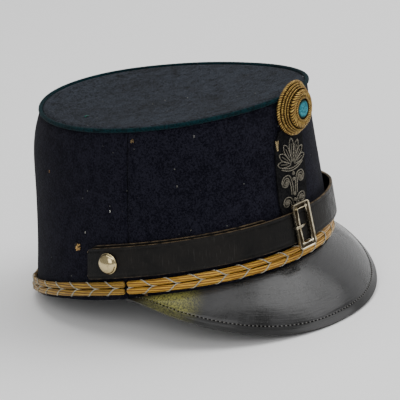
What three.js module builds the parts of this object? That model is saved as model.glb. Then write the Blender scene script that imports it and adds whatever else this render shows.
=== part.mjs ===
// A kepi cap: a hollow cloth crown of two panels and a top, piped round its upper edge, with a leather peak,
// a pair of gold cords round the base, a buckled chin strap on two side buttons, a cockade and a cloth patch.
// Millimetres, +Z up, the wearer's front towards -Y. The cap lies as it rests by itself: on the front edge
// of its peak and the back of its hem, so everything is made in the cap's own frame, whose plane z = 0 holds
// the base line, and the whole is tilted back onto the floor at the end.
import * as THREE from "three";

// Resting pose
const REST_TILT = THREE.MathUtils.degToRad(9.5);
const CENTRE_SHIFT = 12.9; // brings the middle of the cap's depth over the origin

// Crown, outside: an oval base line and a smaller oval top that stands further forward and slopes down to it
const BASE = { halfWidth: 84.6, front: 97.6, rear: 101, frontPower: 2.14, rearPower: 2.05 };
const TOP = { halfWidth: 71.4, front: 91.2, rear: 86.6, frontPower: 2.02, rearPower: 2.02 };
const TOP_FORWARD = 22.8;
const TOP_FRONT_HEIGHT = 98.6;
const TOP_REAR_HEIGHT = 116;
const TOP_SADDLE = 1.7; // the top's edge rises this much at front and back, and falls as much at the sides
const SIDE_ARCH = 5.3; // rise of the base line at the sides
const BULGE = { front: -0.7, rear: 4.6, power: 3 };
const CLOTH = 2.4;
const GAP = 0.3; // between pieces that touch
const SEAM_ANGLE = 74.2; // degrees from the front to each side seam
const SEAM_HALF_GAP = 0.13; // degrees

// Hem, as heights over the base line
const HEM_REAR = -0.8;
const HEM_SIDE = -1.7;
const HEM_FOOT = { flat: 15, free: 42 }; // degrees from the back: lies on the floor up to flat, is free from free
const HEM_SIDE_REACH = { full: 88, none: 104 }; // degrees from the front

// Trim round the crown
const PIPING_RADIUS = 1.4;
const TOP_DISH = 2.2;
const CORD = { halfDepth: 1.3, halfHeight: 2 };
const CORD_LOWER_HEIGHT = { front: 3.3, side: 3.6, rear: 1.6 };
const CORD_SPACING = 2 * CORD.halfHeight + GAP;
const CORD_END_GAP = 0.8; // degrees from each side seam

// Peak
const PEAK = { halfWidth: 84.9, length: 81.4, centre: -40.4, sweep: 99.2 };
const PEAK_THICKNESS = 2.2;
const PEAK_INNER_HEIGHT = -0.4;
const PEAK_CROWN = 2.2; // how far its middle stands over a straight line from wall to edge
const PEAK_TIP_RISE = 24.2; // height of its two tips over the floor
const PEAK_FLAT = 0.1; // share of the edge that lies on the floor
const PEAK_RISE_POWER = 1.8;

// Chin strap, with its distance from the wall along both edges
const STRAP_WIDTH = 18.6;
const STRAP_THICKNESS = 1.6;
const STRAP_HEIGHT = 12.4; // of its lower edge over the base line
const STRAP_END = 90.5;
const STRAP_GAPS = [
  { angle: -STRAP_END, lower: 2.2, upper: 2.2 },
  { angle: -55, lower: 2.2, upper: 2.2 },
  { angle: -35, lower: 2.8, upper: 2.3 },
  { angle: -15, lower: 4.4, upper: 2.6 },
  { angle: 0, lower: 5.2, upper: 2.8 },
  { angle: 18, lower: 4.8, upper: 3.5 },
  { angle: 38, lower: 4, upper: 3.9 },
  { angle: 58, lower: 2.2, upper: 2.2 },
  { angle: 74, lower: 0.7, upper: 0.7 },
  { angle: STRAP_END, lower: 0.5, upper: 0.5 },
];
const TAIL = { start: -89, end: -19, rise: 2.2, gap: GAP };

// Buckle
const BUCKLE = { angle: -2.4, width: 14.4, height: 28, thickness: 1.8, corner: 1.6 };
const BUCKLE_BAR = 3.5;
const BUCKLE_BEVEL = 0.45;
const PRONG = { width: 1.8, thickness: 0.7, length: 5.5 };

// Side buttons
const BUTTON = { angle: 80.8, radius: 6.5, rim: 0.9, height: 4.4 };

// Cockade
const COCKADE = { x: 3.8, height: 92, wallGap: 2, stretch: 1.09, bendRadius: 60 };
const COCKADE_RINGS = [
  { radius: 15.1, height: 0 },
  { radius: 15.5, height: 1.1 },
  { radius: 14.9, height: 2.2 },
  { radius: 14.2, height: 2.5 },
  { radius: 14, height: 3.7 },
  { radius: 13.1, height: 4.1 },
  { radius: 12.8, height: 5.2 },
  { radius: 11.7, height: 5.7 },
  { radius: 11.1, height: 6.8 },
  { radius: 9.4, height: 8 },
  { radius: 7.3, height: 8.4 },
  { radius: 6.2, height: 7.6 },
];
const SOCKET = { radius: 5.8, floor: 5 };
const BOSS = { radius: SOCKET.radius - GAP, height: 2.9 };

// Patch under the cockade
const PATCH = { thickness: 1, lean: -0.07 };
const PATCH_ROWS = [
  { height: 29, halfWidth: 7.5 },
  { height: 32, halfWidth: 11 },
  { height: 40, halfWidth: 12.8 },
  { height: 52, halfWidth: 13.2 },
  { height: 64, halfWidth: 13.2 },
  { height: 74, halfWidth: 12.8 },
  { height: 80, halfWidth: 10.2 },
  { height: 82.5, halfWidth: 6.5 },
];

// Fineness
const WALL_STEP = 4.7; // degrees
const WALL_HEIGHTS = [0.12, 0.3, 0.5, 0.66, 0.8, 0.91];
const PEAK_STEPS = 64;
const TUBE_SIDES = 8;
const ROUND_STEPS = 28;

const materials = {
  cloth: new THREE.MeshStandardMaterial({ color: 0x14161f, roughness: 0.95, metalness: 0 }),
  piping: new THREE.MeshStandardMaterial({ color: 0x0f3d45, roughness: 0.9, metalness: 0 }),
  leather: new THREE.MeshStandardMaterial({ color: 0x1b1a18, roughness: 0.4, metalness: 0 }),
  gold: new THREE.MeshStandardMaterial({ color: 0xb08433, roughness: 0.45, metalness: 0.5 }),
  nickel: new THREE.MeshStandardMaterial({ color: 0xb9b096, roughness: 0.3, metalness: 1 }),
  boss: new THREE.MeshStandardMaterial({ color: 0x3f97a8, roughness: 0.7, metalness: 0 }),
};

// Small sums

const radians = THREE.MathUtils.degToRad;

function blend(low, high, value) {
  return THREE.MathUtils.smoothstep(value, low, high);
}

// A column of a table whose rows are ordered by another column, eased between the rows.
function readTable(rows, key, value, column) {
  const next = rows.findIndex((row) => row[key] >= value);
  if (next <= 0) return rows[next === 0 ? 0 : rows.length - 1][column];
  const before = rows[next - 1];
  const after = rows[next];
  const share = blend(before[key], after[key], value);
  return THREE.MathUtils.lerp(before[column], after[column], share);
}

function steps(from, to, count) {
  return Array.from({ length: count + 1 }, (_, i) => from + ((to - from) * i) / count);
}

// The crown's outside. Angles are in degrees, 0 at the front and 90 at the wearer's left.

function ovalPoint(oval, angle) {
  const s = Math.sin(radians(angle));
  const c = Math.cos(radians(angle));
  const power = c > 0 ? oval.frontPower : oval.rearPower;
  const reach = (Math.abs(s) ** power + Math.abs(c) ** power) ** (-1 / power);
  const length = c > 0 ? oval.front : oval.rear;
  return new THREE.Vector2(oval.halfWidth * s * reach, -length * c * reach);
}

function outward(angle) {
  const along = ovalPoint(BASE, angle + 0.5).sub(ovalPoint(BASE, angle - 0.5)).normalize();
  return new THREE.Vector3(along.y, -along.x, 0);
}

function basePoint(angle) {
  const p = ovalPoint(BASE, angle);
  return new THREE.Vector3(p.x, p.y, SIDE_ARCH * Math.sin(radians(angle)) ** 2);
}

function topPlane(y) {
  const share = (y + TOP.front) / (TOP.front + TOP.rear);
  return THREE.MathUtils.lerp(TOP_FRONT_HEIGHT, TOP_REAR_HEIGHT, share);
}

function topPoint(angle, share = 1, inset = 0) {
  const shrunk = { ...TOP };
  for (const side of ["halfWidth", "front", "rear"]) shrunk[side] = (TOP[side] - inset) * share;
  const p = ovalPoint(shrunk, angle);
  const saddle = TOP_SADDLE * Math.cos(2 * radians(angle)) * share ** 2;
  return new THREE.Vector3(p.x, p.y - TOP_FORWARD, topPlane(p.y) + saddle);
}

function wallHeight(angle) {
  return topPoint(angle).z - basePoint(angle).z;
}

// A point at a share of the wall's height, and a distance out from its outer face.
function wallPoint(angle, share, out = 0) {
  const backness = (1 - Math.cos(radians(angle))) / 2;
  const fullness = THREE.MathUtils.lerp(BULGE.front, BULGE.rear, backness);
  const bulge = fullness * Math.sin(Math.PI * Math.max(share, 0) ** BULGE.power);
  const p = basePoint(angle).lerp(topPoint(angle), share);
  return p.addScaledVector(outward(angle), bulge + out);
}

function wallPointAt(angle, height, out = 0) {
  return wallPoint(angle, height / wallHeight(angle), out);
}

// The floor, as a height in the cap's own frame, rises towards the back.
function floorHeight(y) {
  return HEM_REAR + (y - BASE.rear) * Math.tan(REST_TILT);
}

function hemPoint(angle, out) {
  const p = wallPoint(angle, 0, out);
  const fromBack = Math.abs(180 - THREE.MathUtils.euclideanModulo(angle, 360));
  const fromFront = 180 - fromBack;
  const drop = 1 - blend(HEM_SIDE_REACH.full, HEM_SIDE_REACH.none, fromFront);
  const free = p.z + THREE.MathUtils.lerp(HEM_REAR, HEM_SIDE, drop);
  const share = blend(HEM_FOOT.flat, HEM_FOOT.free, fromBack);
  p.z = THREE.MathUtils.lerp(floorHeight(p.y), free, share);
  return p;
}

// Closed surfaces

function faceOutwards(geometry) {
  const p = geometry.getAttribute("position");
  const index = geometry.getIndex();
  const corners = [0, 1, 2].map(() => new THREE.Vector3());
  let volume = 0;
  for (let i = 0; i < index.count; i += 3) {
    corners.forEach((corner, j) => corner.fromBufferAttribute(p, index.getX(i + j)));
    volume += corners[0].dot(corners[1].clone().cross(corners[2]));
  }
  if (volume > 0) return geometry;
  for (let i = 0; i < index.count; i += 3) {
    const second = index.getX(i + 1);
    index.setX(i + 1, index.getX(i + 2));
    index.setX(i + 2, second);
  }
  return geometry;
}

// Joins loops of points, all of one length, into a closed body: a ring, or a bar with both ends closed.
function loft(loops, ring = false) {
  const size = loops[0].length;
  const triangles = [];
  const quad = (a, b, c, d) => triangles.push(a, b, c, a, c, d);
  const last = ring ? loops.length : loops.length - 1;
  for (let i = 0; i < last; i++) {
    const here = i * size;
    const next = ((i + 1) % loops.length) * size;
    for (let j = 0; j < size; j++) {
      const k = (j + 1) % size;
      quad(here + j, here + k, next + k, next + j);
    }
  }
  const closeEnd = (start, flip) => {
    for (let j = 0; j < size / 2 - 1; j++) {
      const cap = [j, j + 1, size - 2 - j, size - 1 - j].map((corner) => start + corner);
      if (flip) cap.reverse();
      quad(...cap);
    }
  };
  if (!ring) {
    closeEnd(0, true);
    closeEnd((loops.length - 1) * size, false);
  }
  const geometry = new THREE.BufferGeometry().setFromPoints(loops.flat());
  geometry.setIndex(triangles);
  return faceOutwards(geometry);
}

// A tube along points, its ends narrowed when it is open.
function tube(points, halfDepth, halfHeight, ring = false) {
  const count = points.length;
  const loops = points.map((point, i) => {
    const before = points[ring ? (i + count - 1) % count : Math.max(i - 1, 0)];
    const after = points[ring ? (i + 1) % count : Math.min(i + 1, count - 1)];
    const along = after.clone().sub(before).normalize();
    const side = along.clone().cross(new THREE.Vector3(0, 0, 1)).normalize();
    const up = side.clone().cross(along);
    const atEnd = !ring && (i === 0 || i === count - 1);
    const size = atEnd ? 0.55 : 1;
    const turns = steps(0, 2 * Math.PI, TUBE_SIDES).slice(0, -1);
    return turns.map((turn) => {
      const p = point.clone().addScaledVector(side, size * halfDepth * Math.cos(turn));
      return p.addScaledVector(up, size * halfHeight * Math.sin(turn));
    });
  });
  return loft(loops, ring);
}

// A turned solid about +Z from (radius, height) rows that run outside up to the axis, with its back at z = 0.
function turned(rows, count) {
  const profile = [new THREE.Vector2(0, rows[0].height)];
  rows.forEach((row) => profile.push(new THREE.Vector2(row.radius, row.height)));
  const geometry = new THREE.LatheGeometry(profile, count);
  geometry.rotateX(Math.PI / 2);
  return faceOutwards(geometry);
}

function mesh(name, geometry, material) {
  const made = new THREE.Mesh(geometry, material);
  made.name = name;
  return made;
}

// Turns a mesh or group so that its z points along out and its y stays close to up.
function faceAlong(object, position, out, up) {
  const z = out.clone().normalize();
  const x = up.clone().cross(z).normalize();
  const y = z.clone().cross(x);
  object.quaternion.setFromRotationMatrix(new THREE.Matrix4().makeBasis(x, y, z));
  object.position.copy(position);
  return object;
}

// The crown

function crownPanel(from, to) {
  const count = Math.round((to - from) / WALL_STEP);
  const loops = steps(from, to, count).map((angle) => {
    const topShare = 1 - (PIPING_RADIUS + GAP) / wallHeight(angle);
    const shares = [...WALL_HEIGHTS, topShare];
    const face = (out) => [hemPoint(angle, out), ...shares.map((share) => wallPoint(angle, share, out))];
    return [...face(0), ...face(-CLOTH).reverse()];
  });
  return loft(loops);
}

// The disc is built from rings about two middle points, one on each face.
function crownTop() {
  const angles = steps(0, 360, 64).slice(0, -1);
  const shares = [0.3, 0.6, 0.88, 1];
  const inset = PIPING_RADIUS + GAP;
  const raised = (angle, share, rise) => {
    const p = topPoint(angle, share, inset);
    p.z += rise - TOP_DISH * (1 - share ** 2);
    return p;
  };
  const faceRings = (rise) => shares.map((share) => angles.map((angle) => raised(angle, share, rise)));
  const upperRise = CLOTH - PIPING_RADIUS;
  const lowerRise = -PIPING_RADIUS;
  const rings = [...faceRings(upperRise), ...faceRings(lowerRise).reverse()];
  const points = [raised(0, 0, upperRise), ...rings.flat(), raised(0, 0, lowerRise)];
  const size = angles.length;
  const triangles = [];
  for (let i = 0; i < size; i++) {
    const after = (i + 1) % size;
    triangles.push(0, 1 + i, 1 + after);
    for (let ring = 0; ring < rings.length - 1; ring++) {
      const here = 1 + ring * size;
      const next = here + size;
      triangles.push(here + i, next + i, next + after, here + i, next + after, here + after);
    }
    const last = 1 + (rings.length - 1) * size;
    triangles.push(last + i, points.length - 1, last + after);
  }
  const geometry = new THREE.BufferGeometry().setFromPoints(points);
  geometry.setIndex(triangles);
  return faceOutwards(geometry);
}

function piping() {
  const path = steps(0, 360, 66).slice(0, -1).map((angle) => topPoint(angle));
  return tube(path, PIPING_RADIUS, PIPING_RADIUS, true);
}

function cordHeight(angle) {
  const { front, side, rear } = CORD_LOWER_HEIGHT;
  const c = Math.cos(radians(angle));
  return THREE.MathUtils.lerp(side, c > 0 ? front : rear, c ** 2);
}

function cord(from, to, raise) {
  const out = GAP + CORD.halfDepth;
  const ends = 0.9; // degrees over which an end is rounded
  const angles = [from, ...steps(from + ends, to - ends, Math.round((to - from) / WALL_STEP)), to];
  const path = angles.map((angle) => wallPointAt(angle, cordHeight(angle) + raise, out));
  return tube(path, CORD.halfDepth, CORD.halfHeight);
}

// The peak

function peakEdge(share) {
  const angle = radians(share * PEAK.sweep);
  const y = PEAK.centre - PEAK.length * Math.cos(angle);
  const lifted = Math.max(Math.abs(share) - PEAK_FLAT, 0) / (1 - PEAK_FLAT);
  const rise = PEAK_TIP_RISE * (1 - (1 - lifted ** 2) ** PEAK_RISE_POWER);
  return new THREE.Vector3(PEAK.halfWidth * Math.sin(angle), y, floorHeight(y) + rise / Math.cos(REST_TILT));
}

function peakInner(share) {
  return wallPointAt(share * (SEAM_ANGLE - SEAM_HALF_GAP), PEAK_INNER_HEIGHT, GAP);
}

// The way out of the leather's upper face, turned upright towards the two tips, where the peak runs out flat.
function peakNormal(share) {
  const nudge = 0.01;
  const down = peakEdge(share).sub(peakInner(share));
  const along = peakInner(share + nudge).sub(peakInner(share - nudge));
  const normal = along.cross(down).normalize().negate();
  return normal.lerp(new THREE.Vector3(0, 0, 1), blend(0.7, 1, Math.abs(share))).normalize();
}

function peak() {
  const across = [0, 0.2, 0.45, 0.72, 1];
  const loops = steps(-1, 1, PEAK_STEPS).map((share) => {
    const normal = peakNormal(share);
    const inner = peakInner(share);
    const edge = peakEdge(share).addScaledVector(normal, PEAK_THICKNESS);
    const upper = across.map((part) => {
      const crown = PEAK_CROWN * 4 * part * (1 - part) * (1 - share ** 4);
      return inner.clone().lerp(edge, part).addScaledVector(normal, crown);
    });
    const lower = upper.map((p) => p.clone().addScaledVector(normal, -PEAK_THICKNESS));
    lower[0].copy(inner).z -= PEAK_THICKNESS / normal.z;
    return [...upper, ...lower.reverse()];
  });
  return loft(loops);
}

// The chin strap

function strapSection(angle, lowHeight, width, lowGap, highGap) {
  const middle = 0.5;
  const shares = [0, middle, 1];
  const face = (extra) =>
    shares.map((share) => {
      const out = THREE.MathUtils.lerp(lowGap, highGap, share) + extra;
      return wallPointAt(angle, lowHeight + share * width, out);
    });
  return [...face(STRAP_THICKNESS), ...face(0).reverse()];
}

function strapGap(angle, edge) {
  return readTable(STRAP_GAPS, "angle", angle, edge);
}

function chinStrap() {
  const angles = steps(-STRAP_END, STRAP_END, 56);
  return loft(
    angles.map((angle) =>
      strapSection(angle, STRAP_HEIGHT, STRAP_WIDTH, strapGap(angle, "lower"), strapGap(angle, "upper")),
    ),
  );
}

function strapTail() {
  const angles = steps(TAIL.start, TAIL.end, 20);
  const width = STRAP_WIDTH - TAIL.rise / 2;
  return loft(angles.map((angle) => strapSection(angle, STRAP_HEIGHT + TAIL.rise, width, TAIL.gap, TAIL.gap)));
}

// A place on the strap's outer face: its middle, the way out and the way up.
function strapPlace(angle) {
  const at = (turn, share) => {
    const gap = THREE.MathUtils.lerp(strapGap(turn, "lower"), strapGap(turn, "upper"), share);
    return wallPointAt(turn, STRAP_HEIGHT + share * STRAP_WIDTH, gap + STRAP_THICKNESS);
  };
  const up = at(angle, 1).sub(at(angle, 0)).normalize();
  const along = at(angle + 1, 0.5).sub(at(angle - 1, 0.5)).normalize();
  return { middle: at(angle, 0.5), out: along.cross(up).normalize(), up };
}

// The buckle, made in its own frame: x along the strap, y up it and z out.

function roundedRectangle(target, width, height, corner) {
  const x = width / 2;
  const y = height / 2;
  target.moveTo(-x + corner, -y);
  target.lineTo(x - corner, -y);
  target.quadraticCurveTo(x, -y, x, -y + corner);
  target.lineTo(x, y - corner);
  target.quadraticCurveTo(x, y, x - corner, y);
  target.lineTo(-x + corner, y);
  target.quadraticCurveTo(-x, y, -x, y - corner);
  target.lineTo(-x, -y + corner);
  target.quadraticCurveTo(-x, -y, -x + corner, -y);
  return target;
}

function buckleFrame() {
  const inset = 2 * BUCKLE_BEVEL;
  const outline = roundedRectangle(
    new THREE.Shape(),
    BUCKLE.width - inset,
    BUCKLE.height - inset,
    BUCKLE.corner,
  );
  const window = roundedRectangle(
    new THREE.Path(),
    BUCKLE.width - 2 * BUCKLE_BAR + inset,
    BUCKLE.height - 2 * BUCKLE_BAR + inset,
    BUCKLE.corner / 2,
  );
  outline.holes.push(window);
  return new THREE.ExtrudeGeometry(outline, {
    depth: BUCKLE.thickness - inset,
    bevelThickness: BUCKLE_BEVEL,
    bevelSize: BUCKLE_BEVEL,
    bevelSegments: 1,
    curveSegments: 3,
  }).translate(0, 0, BUCKLE_BEVEL);
}

// A bent strip that hooks over the bar on the wearer's right and reaches down to the strap in the window.
function buckleProng() {
  const barLeft = -BUCKLE.width / 2;
  const left = barLeft - GAP;
  const right = barLeft + BUCKLE_BAR + GAP;
  const top = BUCKLE.thickness + GAP;
  const t = PRONG.thickness;
  const tip = right + PRONG.length;
  const strip = new THREE.Shape([
    new THREE.Vector2(left - t, 0),
    new THREE.Vector2(left, 0),
    new THREE.Vector2(left, top),
    new THREE.Vector2(right, top),
    new THREE.Vector2(tip, 0),
    new THREE.Vector2(tip + t, t),
    new THREE.Vector2(right + t, top + t),
    new THREE.Vector2(left - t, top + t),
  ]);
  const geometry = new THREE.ExtrudeGeometry(strip, { depth: PRONG.width, bevelEnabled: false });
  return geometry.rotateX(Math.PI / 2).translate(0, PRONG.width / 2, 0);
}

function buckle() {
  const group = new THREE.Group();
  group.add(mesh("buckle_frame", buckleFrame(), materials.nickel));
  group.add(mesh("buckle_prong", buckleProng(), materials.nickel));
  const place = strapPlace(BUCKLE.angle);
  return faceAlong(group, place.middle.addScaledVector(place.out, GAP), place.out, place.up);
}

// Side buttons

function button(name, side) {
  const dome = steps(0, Math.PI / 2, 5).map((turn) => ({
    radius: BUTTON.radius * Math.cos(turn),
    height: BUTTON.rim + (BUTTON.height - BUTTON.rim) * Math.sin(turn),
  }));
  dome[dome.length - 1].radius = 0;
  const rows = [{ radius: BUTTON.radius - BUTTON.rim, height: 0 }, { radius: BUTTON.radius, height: BUTTON.rim / 2 }];
  const place = strapPlace(side * BUTTON.angle);
  const made = mesh(name, turned([...rows, ...dome], ROUND_STEPS), materials.nickel);
  return faceAlong(made, place.middle.addScaledVector(place.out, GAP), place.out, place.up);
}

// The cockade, bent round the front of the crown

function cockade() {
  const group = new THREE.Group();
  const angle = THREE.MathUtils.radToDeg(Math.asin(COCKADE.x / TOP.halfWidth));
  const at = (turn, height) => wallPointAt(turn, height, COCKADE.wallGap);
  const middle = at(angle, COCKADE.height);
  const up = at(angle, COCKADE.height + 1).sub(at(angle, COCKADE.height - 1)).normalize();
  const along = at(angle + 1, COCKADE.height).sub(at(angle - 1, COCKADE.height)).normalize();
  const bend = (geometry) => {
    const p = geometry.getAttribute("position");
    for (let i = 0; i < p.count; i++) {
      p.setY(i, p.getY(i) * COCKADE.stretch);
      p.setZ(i, p.getZ(i) - p.getX(i) ** 2 / (2 * COCKADE.bendRadius));
    }
    return geometry;
  };
  const socket = [
    { radius: SOCKET.radius, height: SOCKET.floor },
    { radius: 0, height: SOCKET.floor },
  ];
  const boss = [
    { radius: BOSS.radius, height: 0 },
    { radius: BOSS.radius, height: BOSS.height * 0.55 },
    { radius: BOSS.radius * 0.72, height: BOSS.height * 0.9 },
    { radius: 0, height: BOSS.height },
  ];
  group.add(mesh("cockade_rosette", bend(turned([...COCKADE_RINGS, ...socket], 40)), materials.gold));
  const bossGeometry = bend(turned(boss, ROUND_STEPS)).translate(0, 0, SOCKET.floor + GAP);
  group.add(mesh("cockade_boss", bossGeometry, materials.boss));
  return faceAlong(group, middle, along.cross(up), up);
}

// The patch between cockade and strap

function patch() {
  const across = [-1, -0.5, 0, 0.5, 1];
  const loops = PATCH_ROWS.map((row) => {
    const face = (out) =>
      across.map((share) => {
        const middle = PATCH.lean * (PATCH_ROWS[PATCH_ROWS.length - 1].height - row.height);
        const x = middle + share * row.halfWidth;
        const halfWidth = THREE.MathUtils.lerp(BASE.halfWidth, TOP.halfWidth, row.height / TOP_FRONT_HEIGHT);
        const angle = THREE.MathUtils.radToDeg(Math.asin(x / halfWidth));
        return wallPointAt(angle, row.height, out);
      });
    return [...face(GAP + PATCH.thickness), ...face(GAP).reverse()];
  });
  return loft(loops);
}

// Assembly

const cap = new THREE.Group();
const frontFrom = -SEAM_ANGLE + SEAM_HALF_GAP;
const rearFrom = SEAM_ANGLE + SEAM_HALF_GAP;
cap.add(mesh("crown_front_panel", crownPanel(frontFrom, -frontFrom), materials.cloth));
cap.add(mesh("crown_rear_panel", crownPanel(rearFrom, 360 - rearFrom), materials.cloth));
cap.add(mesh("crown_top", crownTop(), materials.cloth));
cap.add(mesh("crown_piping", piping(), materials.piping));
cap.add(mesh("peak", peak(), materials.leather));
for (const [place, raise] of [["lower", 0], ["upper", CORD_SPACING]]) {
  const front = SEAM_ANGLE - CORD_END_GAP;
  const rear = SEAM_ANGLE + CORD_END_GAP;
  cap.add(mesh(`front_cord_${place}`, cord(-front, front, raise), materials.gold));
  cap.add(mesh(`rear_cord_${place}`, cord(rear, 360 - rear, raise), materials.gold));
}
cap.add(mesh("chin_strap", chinStrap(), materials.leather));
cap.add(mesh("chin_strap_tail", strapTail(), materials.leather));
cap.add(buckle());
cap.add(button("right_side_button", -1));
cap.add(button("left_side_button", 1));
cap.add(cockade());
cap.add(mesh("emblem_patch", patch(), materials.cloth));

cap.rotation.x = -REST_TILT;
cap.position.y = CENTRE_SHIFT;
cap.position.z = BASE.rear * Math.sin(REST_TILT) - HEM_REAR * Math.cos(REST_TILT);

const kepi = new THREE.Group();
kepi.add(cap);

export default kepi;
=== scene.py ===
"""Dresses a kepi cap: wool crown, leather peak, gold cords, buckled chin strap, cockade and wire emblem."""

import logging
import math
import random
from dataclasses import dataclass, field
from enum import Enum
from typing import Callable, Optional, Sequence

import bpy
from mathutils import Matrix, Vector, noise

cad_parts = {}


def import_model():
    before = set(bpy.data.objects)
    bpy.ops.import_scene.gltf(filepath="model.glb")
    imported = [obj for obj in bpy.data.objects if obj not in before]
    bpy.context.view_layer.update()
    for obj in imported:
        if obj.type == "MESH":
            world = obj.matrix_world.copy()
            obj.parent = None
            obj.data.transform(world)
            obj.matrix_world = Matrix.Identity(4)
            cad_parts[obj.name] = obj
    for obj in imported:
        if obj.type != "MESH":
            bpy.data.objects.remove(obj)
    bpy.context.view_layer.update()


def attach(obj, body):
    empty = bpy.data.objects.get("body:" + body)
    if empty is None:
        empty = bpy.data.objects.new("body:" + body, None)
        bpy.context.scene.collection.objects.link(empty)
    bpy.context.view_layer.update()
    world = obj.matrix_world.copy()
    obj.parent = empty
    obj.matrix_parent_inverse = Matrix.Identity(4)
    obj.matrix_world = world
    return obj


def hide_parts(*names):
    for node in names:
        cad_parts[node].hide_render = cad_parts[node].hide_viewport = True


MM = 0.001
TAU = 2 * math.pi
UP = Vector((0, 0, 1))
LOG = logging.getLogger("kepi")

Piece = bpy.types.Object
Material = bpy.types.Material
Node = bpy.types.Node
NodeTree = bpy.types.NodeTree
Socket = bpy.types.NodeSocket
Surface = Callable[[float, float], Vector]
Colour = tuple[float, float, float]
Chart = Callable[[float, float], tuple[float, float]]
Root = tuple[Vector, Vector]


# Sums


def lerp(low: float, high: float, share: float) -> float:
    """The value at a share of the way from low to high."""
    return low + (high - low) * share


def ease(low: float, high: float, value: float) -> float:
    """A smooth step from 0 at low to 1 at high."""
    t = min(max((value - low) / (high - low), 0.0), 1.0)
    return t * t * (3 - 2 * t)


def crowd_ends(share: float, amount: float = 0.8) -> float:
    """A share of a length, with more of the shares near its two ends.

    Args:
        share: from 0 to 1.
        amount: 0 leaves the share as it is, and nearly 1 crowds most.

    Returns:
        The moved share, also from 0 to 1.
    """
    return share - amount * math.sin(TAU * share) / TAU


def ripple(point: Vector, size: float) -> float:
    """Soft unevenness from -1 to 1 at a point in millimetres, with bumps of the given size."""
    return noise.noise(point / size)


# The cap's form, in millimetres in the cap's own frame


@dataclass(frozen=True)
class Oval:
    """A flat oval, longer or fuller in front than behind."""

    half_width: float
    front: float
    rear: float
    front_power: float
    rear_power: float

    def point(self, angle: float, inset: float = 0.0, share: float = 1.0) -> tuple[float, float]:
        """A point of the oval.

        Args:
            angle: degrees from the front, positive towards the wearer's left.
            inset: how far inside the oval, along its axes.
            share: how far from the middle, 1 on the oval.

        Returns:
            Its place across and along the cap.
        """
        s, c = math.sin(math.radians(angle)), math.cos(math.radians(angle))
        power = self.front_power if c > 0 else self.rear_power
        reach = share * (abs(s) ** power + abs(c) ** power) ** (-1 / power)
        length = (self.front if c > 0 else self.rear) - inset
        return (self.half_width - inset) * s * reach, -length * c * reach


@dataclass(frozen=True)
class CrownForm:
    """The crown's outer face, which every other piece is laid on.

    The fields that end in degree are the millimetres to one degree, roughly, round that part.
    """

    base: Oval = Oval(84.6, 97.6, 101.0, 2.14, 2.05)
    top: Oval = Oval(71.4, 91.2, 86.6, 2.02, 2.02)
    top_forward: float = 22.8
    top_front_height: float = 98.6
    top_rear_height: float = 116.0
    top_saddle: float = 1.7
    side_arch: float = 5.3
    bulge_front: float = -0.7
    bulge_rear: float = 4.6
    bulge_power: float = 3.0
    top_dish: float = 2.2
    cloth: float = 2.4
    gap: float = 0.3
    wall_degree: float = 1.45
    strap_degree: float = 1.5
    base_degree: float = 1.6
    seam_angle: float = 74.2
    hem_rear: float = -0.8
    hem_side: float = -1.7
    hem_span: tuple[float, float] = (88.0, 104.0)
    rest_span: tuple[float, float] = (15.0, 42.0)
    rest_tilt: float = 9.5
    centre_shift: float = 12.9

    def outward(self, angle: float) -> Vector:
        """The level way out of the wall at an angle."""
        a, b = self.base.point(angle - 0.5), self.base.point(angle + 0.5)
        return Vector((b[1] - a[1], a[0] - b[0], 0)).normalized()

    def base_point(self, angle: float) -> Vector:
        """A point of the base line, which arches up at the sides."""
        x, y = self.base.point(angle)
        return Vector((x, y, self.side_arch * math.sin(math.radians(angle)) ** 2))

    def top_point(self, angle: float, share: float = 1.0, inset: float = 0.0) -> Vector:
        """A point of the top, on its edge when share is 1 and at its middle when it is 0."""
        x, y = self.top.point(angle, inset, share)
        plane = (y + self.top.front) / (self.top.front + self.top.rear)
        saddle = self.top_saddle * math.cos(2 * math.radians(angle)) * share**2
        height = lerp(self.top_front_height, self.top_rear_height, plane) + saddle
        return Vector((x, y - self.top_forward, height))

    def dished_top(self, angle: float, share: float, inset: float, lift: float) -> Vector:
        """A point over the dished top, a lift above the line of its edge."""
        p = self.top_point(angle, share, inset)
        p.z += lift - self.top_dish * (1 - share**2)
        return p

    def wall_height(self, angle: float) -> float:
        """The wall's height at an angle."""
        return self.top_point(angle).z - self.base_point(angle).z

    def wall(self, angle: float, share: float, out: float = 0.0) -> Vector:
        """A point at a share of the wall's height and a distance out from its face."""
        backness = (1 - math.cos(math.radians(angle))) / 2
        fullness = lerp(self.bulge_front, self.bulge_rear, backness)
        bulge = fullness * math.sin(math.pi * max(share, 0.0) ** self.bulge_power)
        line = self.base_point(angle).lerp(self.top_point(angle), share)
        return line + self.outward(angle) * (bulge + out)

    def wall_at(self, angle: float, height: float, out: float = 0.0) -> Vector:
        """A point at a height above the base line and a distance out from the wall."""
        return self.wall(angle, height / self.wall_height(angle), out)

    def floor(self, y: float) -> float:
        """The height of the surface the cap rests on, in the cap's own frame."""
        return self.hem_rear + (y - self.base.rear) * math.tan(math.radians(self.rest_tilt))

    def hem(self, angle: float, out: float = 0.0) -> Vector:
        """A point of the lower edge, flattened where it rests at the back."""
        p = self.wall(angle, 0.0, out)
        from_back = abs(180 - angle % 360)
        drop = 1 - ease(*self.hem_span, 180 - from_back)
        free = p.z + lerp(self.hem_rear, self.hem_side, drop)
        p.z = lerp(self.floor(p.y), free, ease(*self.rest_span, from_back))
        return p

    def place(self, p: Vector) -> Vector:
        """Moves a point from the cap's frame, in millimetres, to where the cap rests, in metres."""
        tilt = math.radians(self.rest_tilt)
        s, c = math.sin(tilt), math.cos(tilt)
        lift = self.base.rear * s - self.hem_rear * c
        return Vector((p.x, p.y * c + p.z * s + self.centre_shift, -p.y * s + p.z * c + lift)) * MM


FORM = CrownForm()


# Modelling


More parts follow.
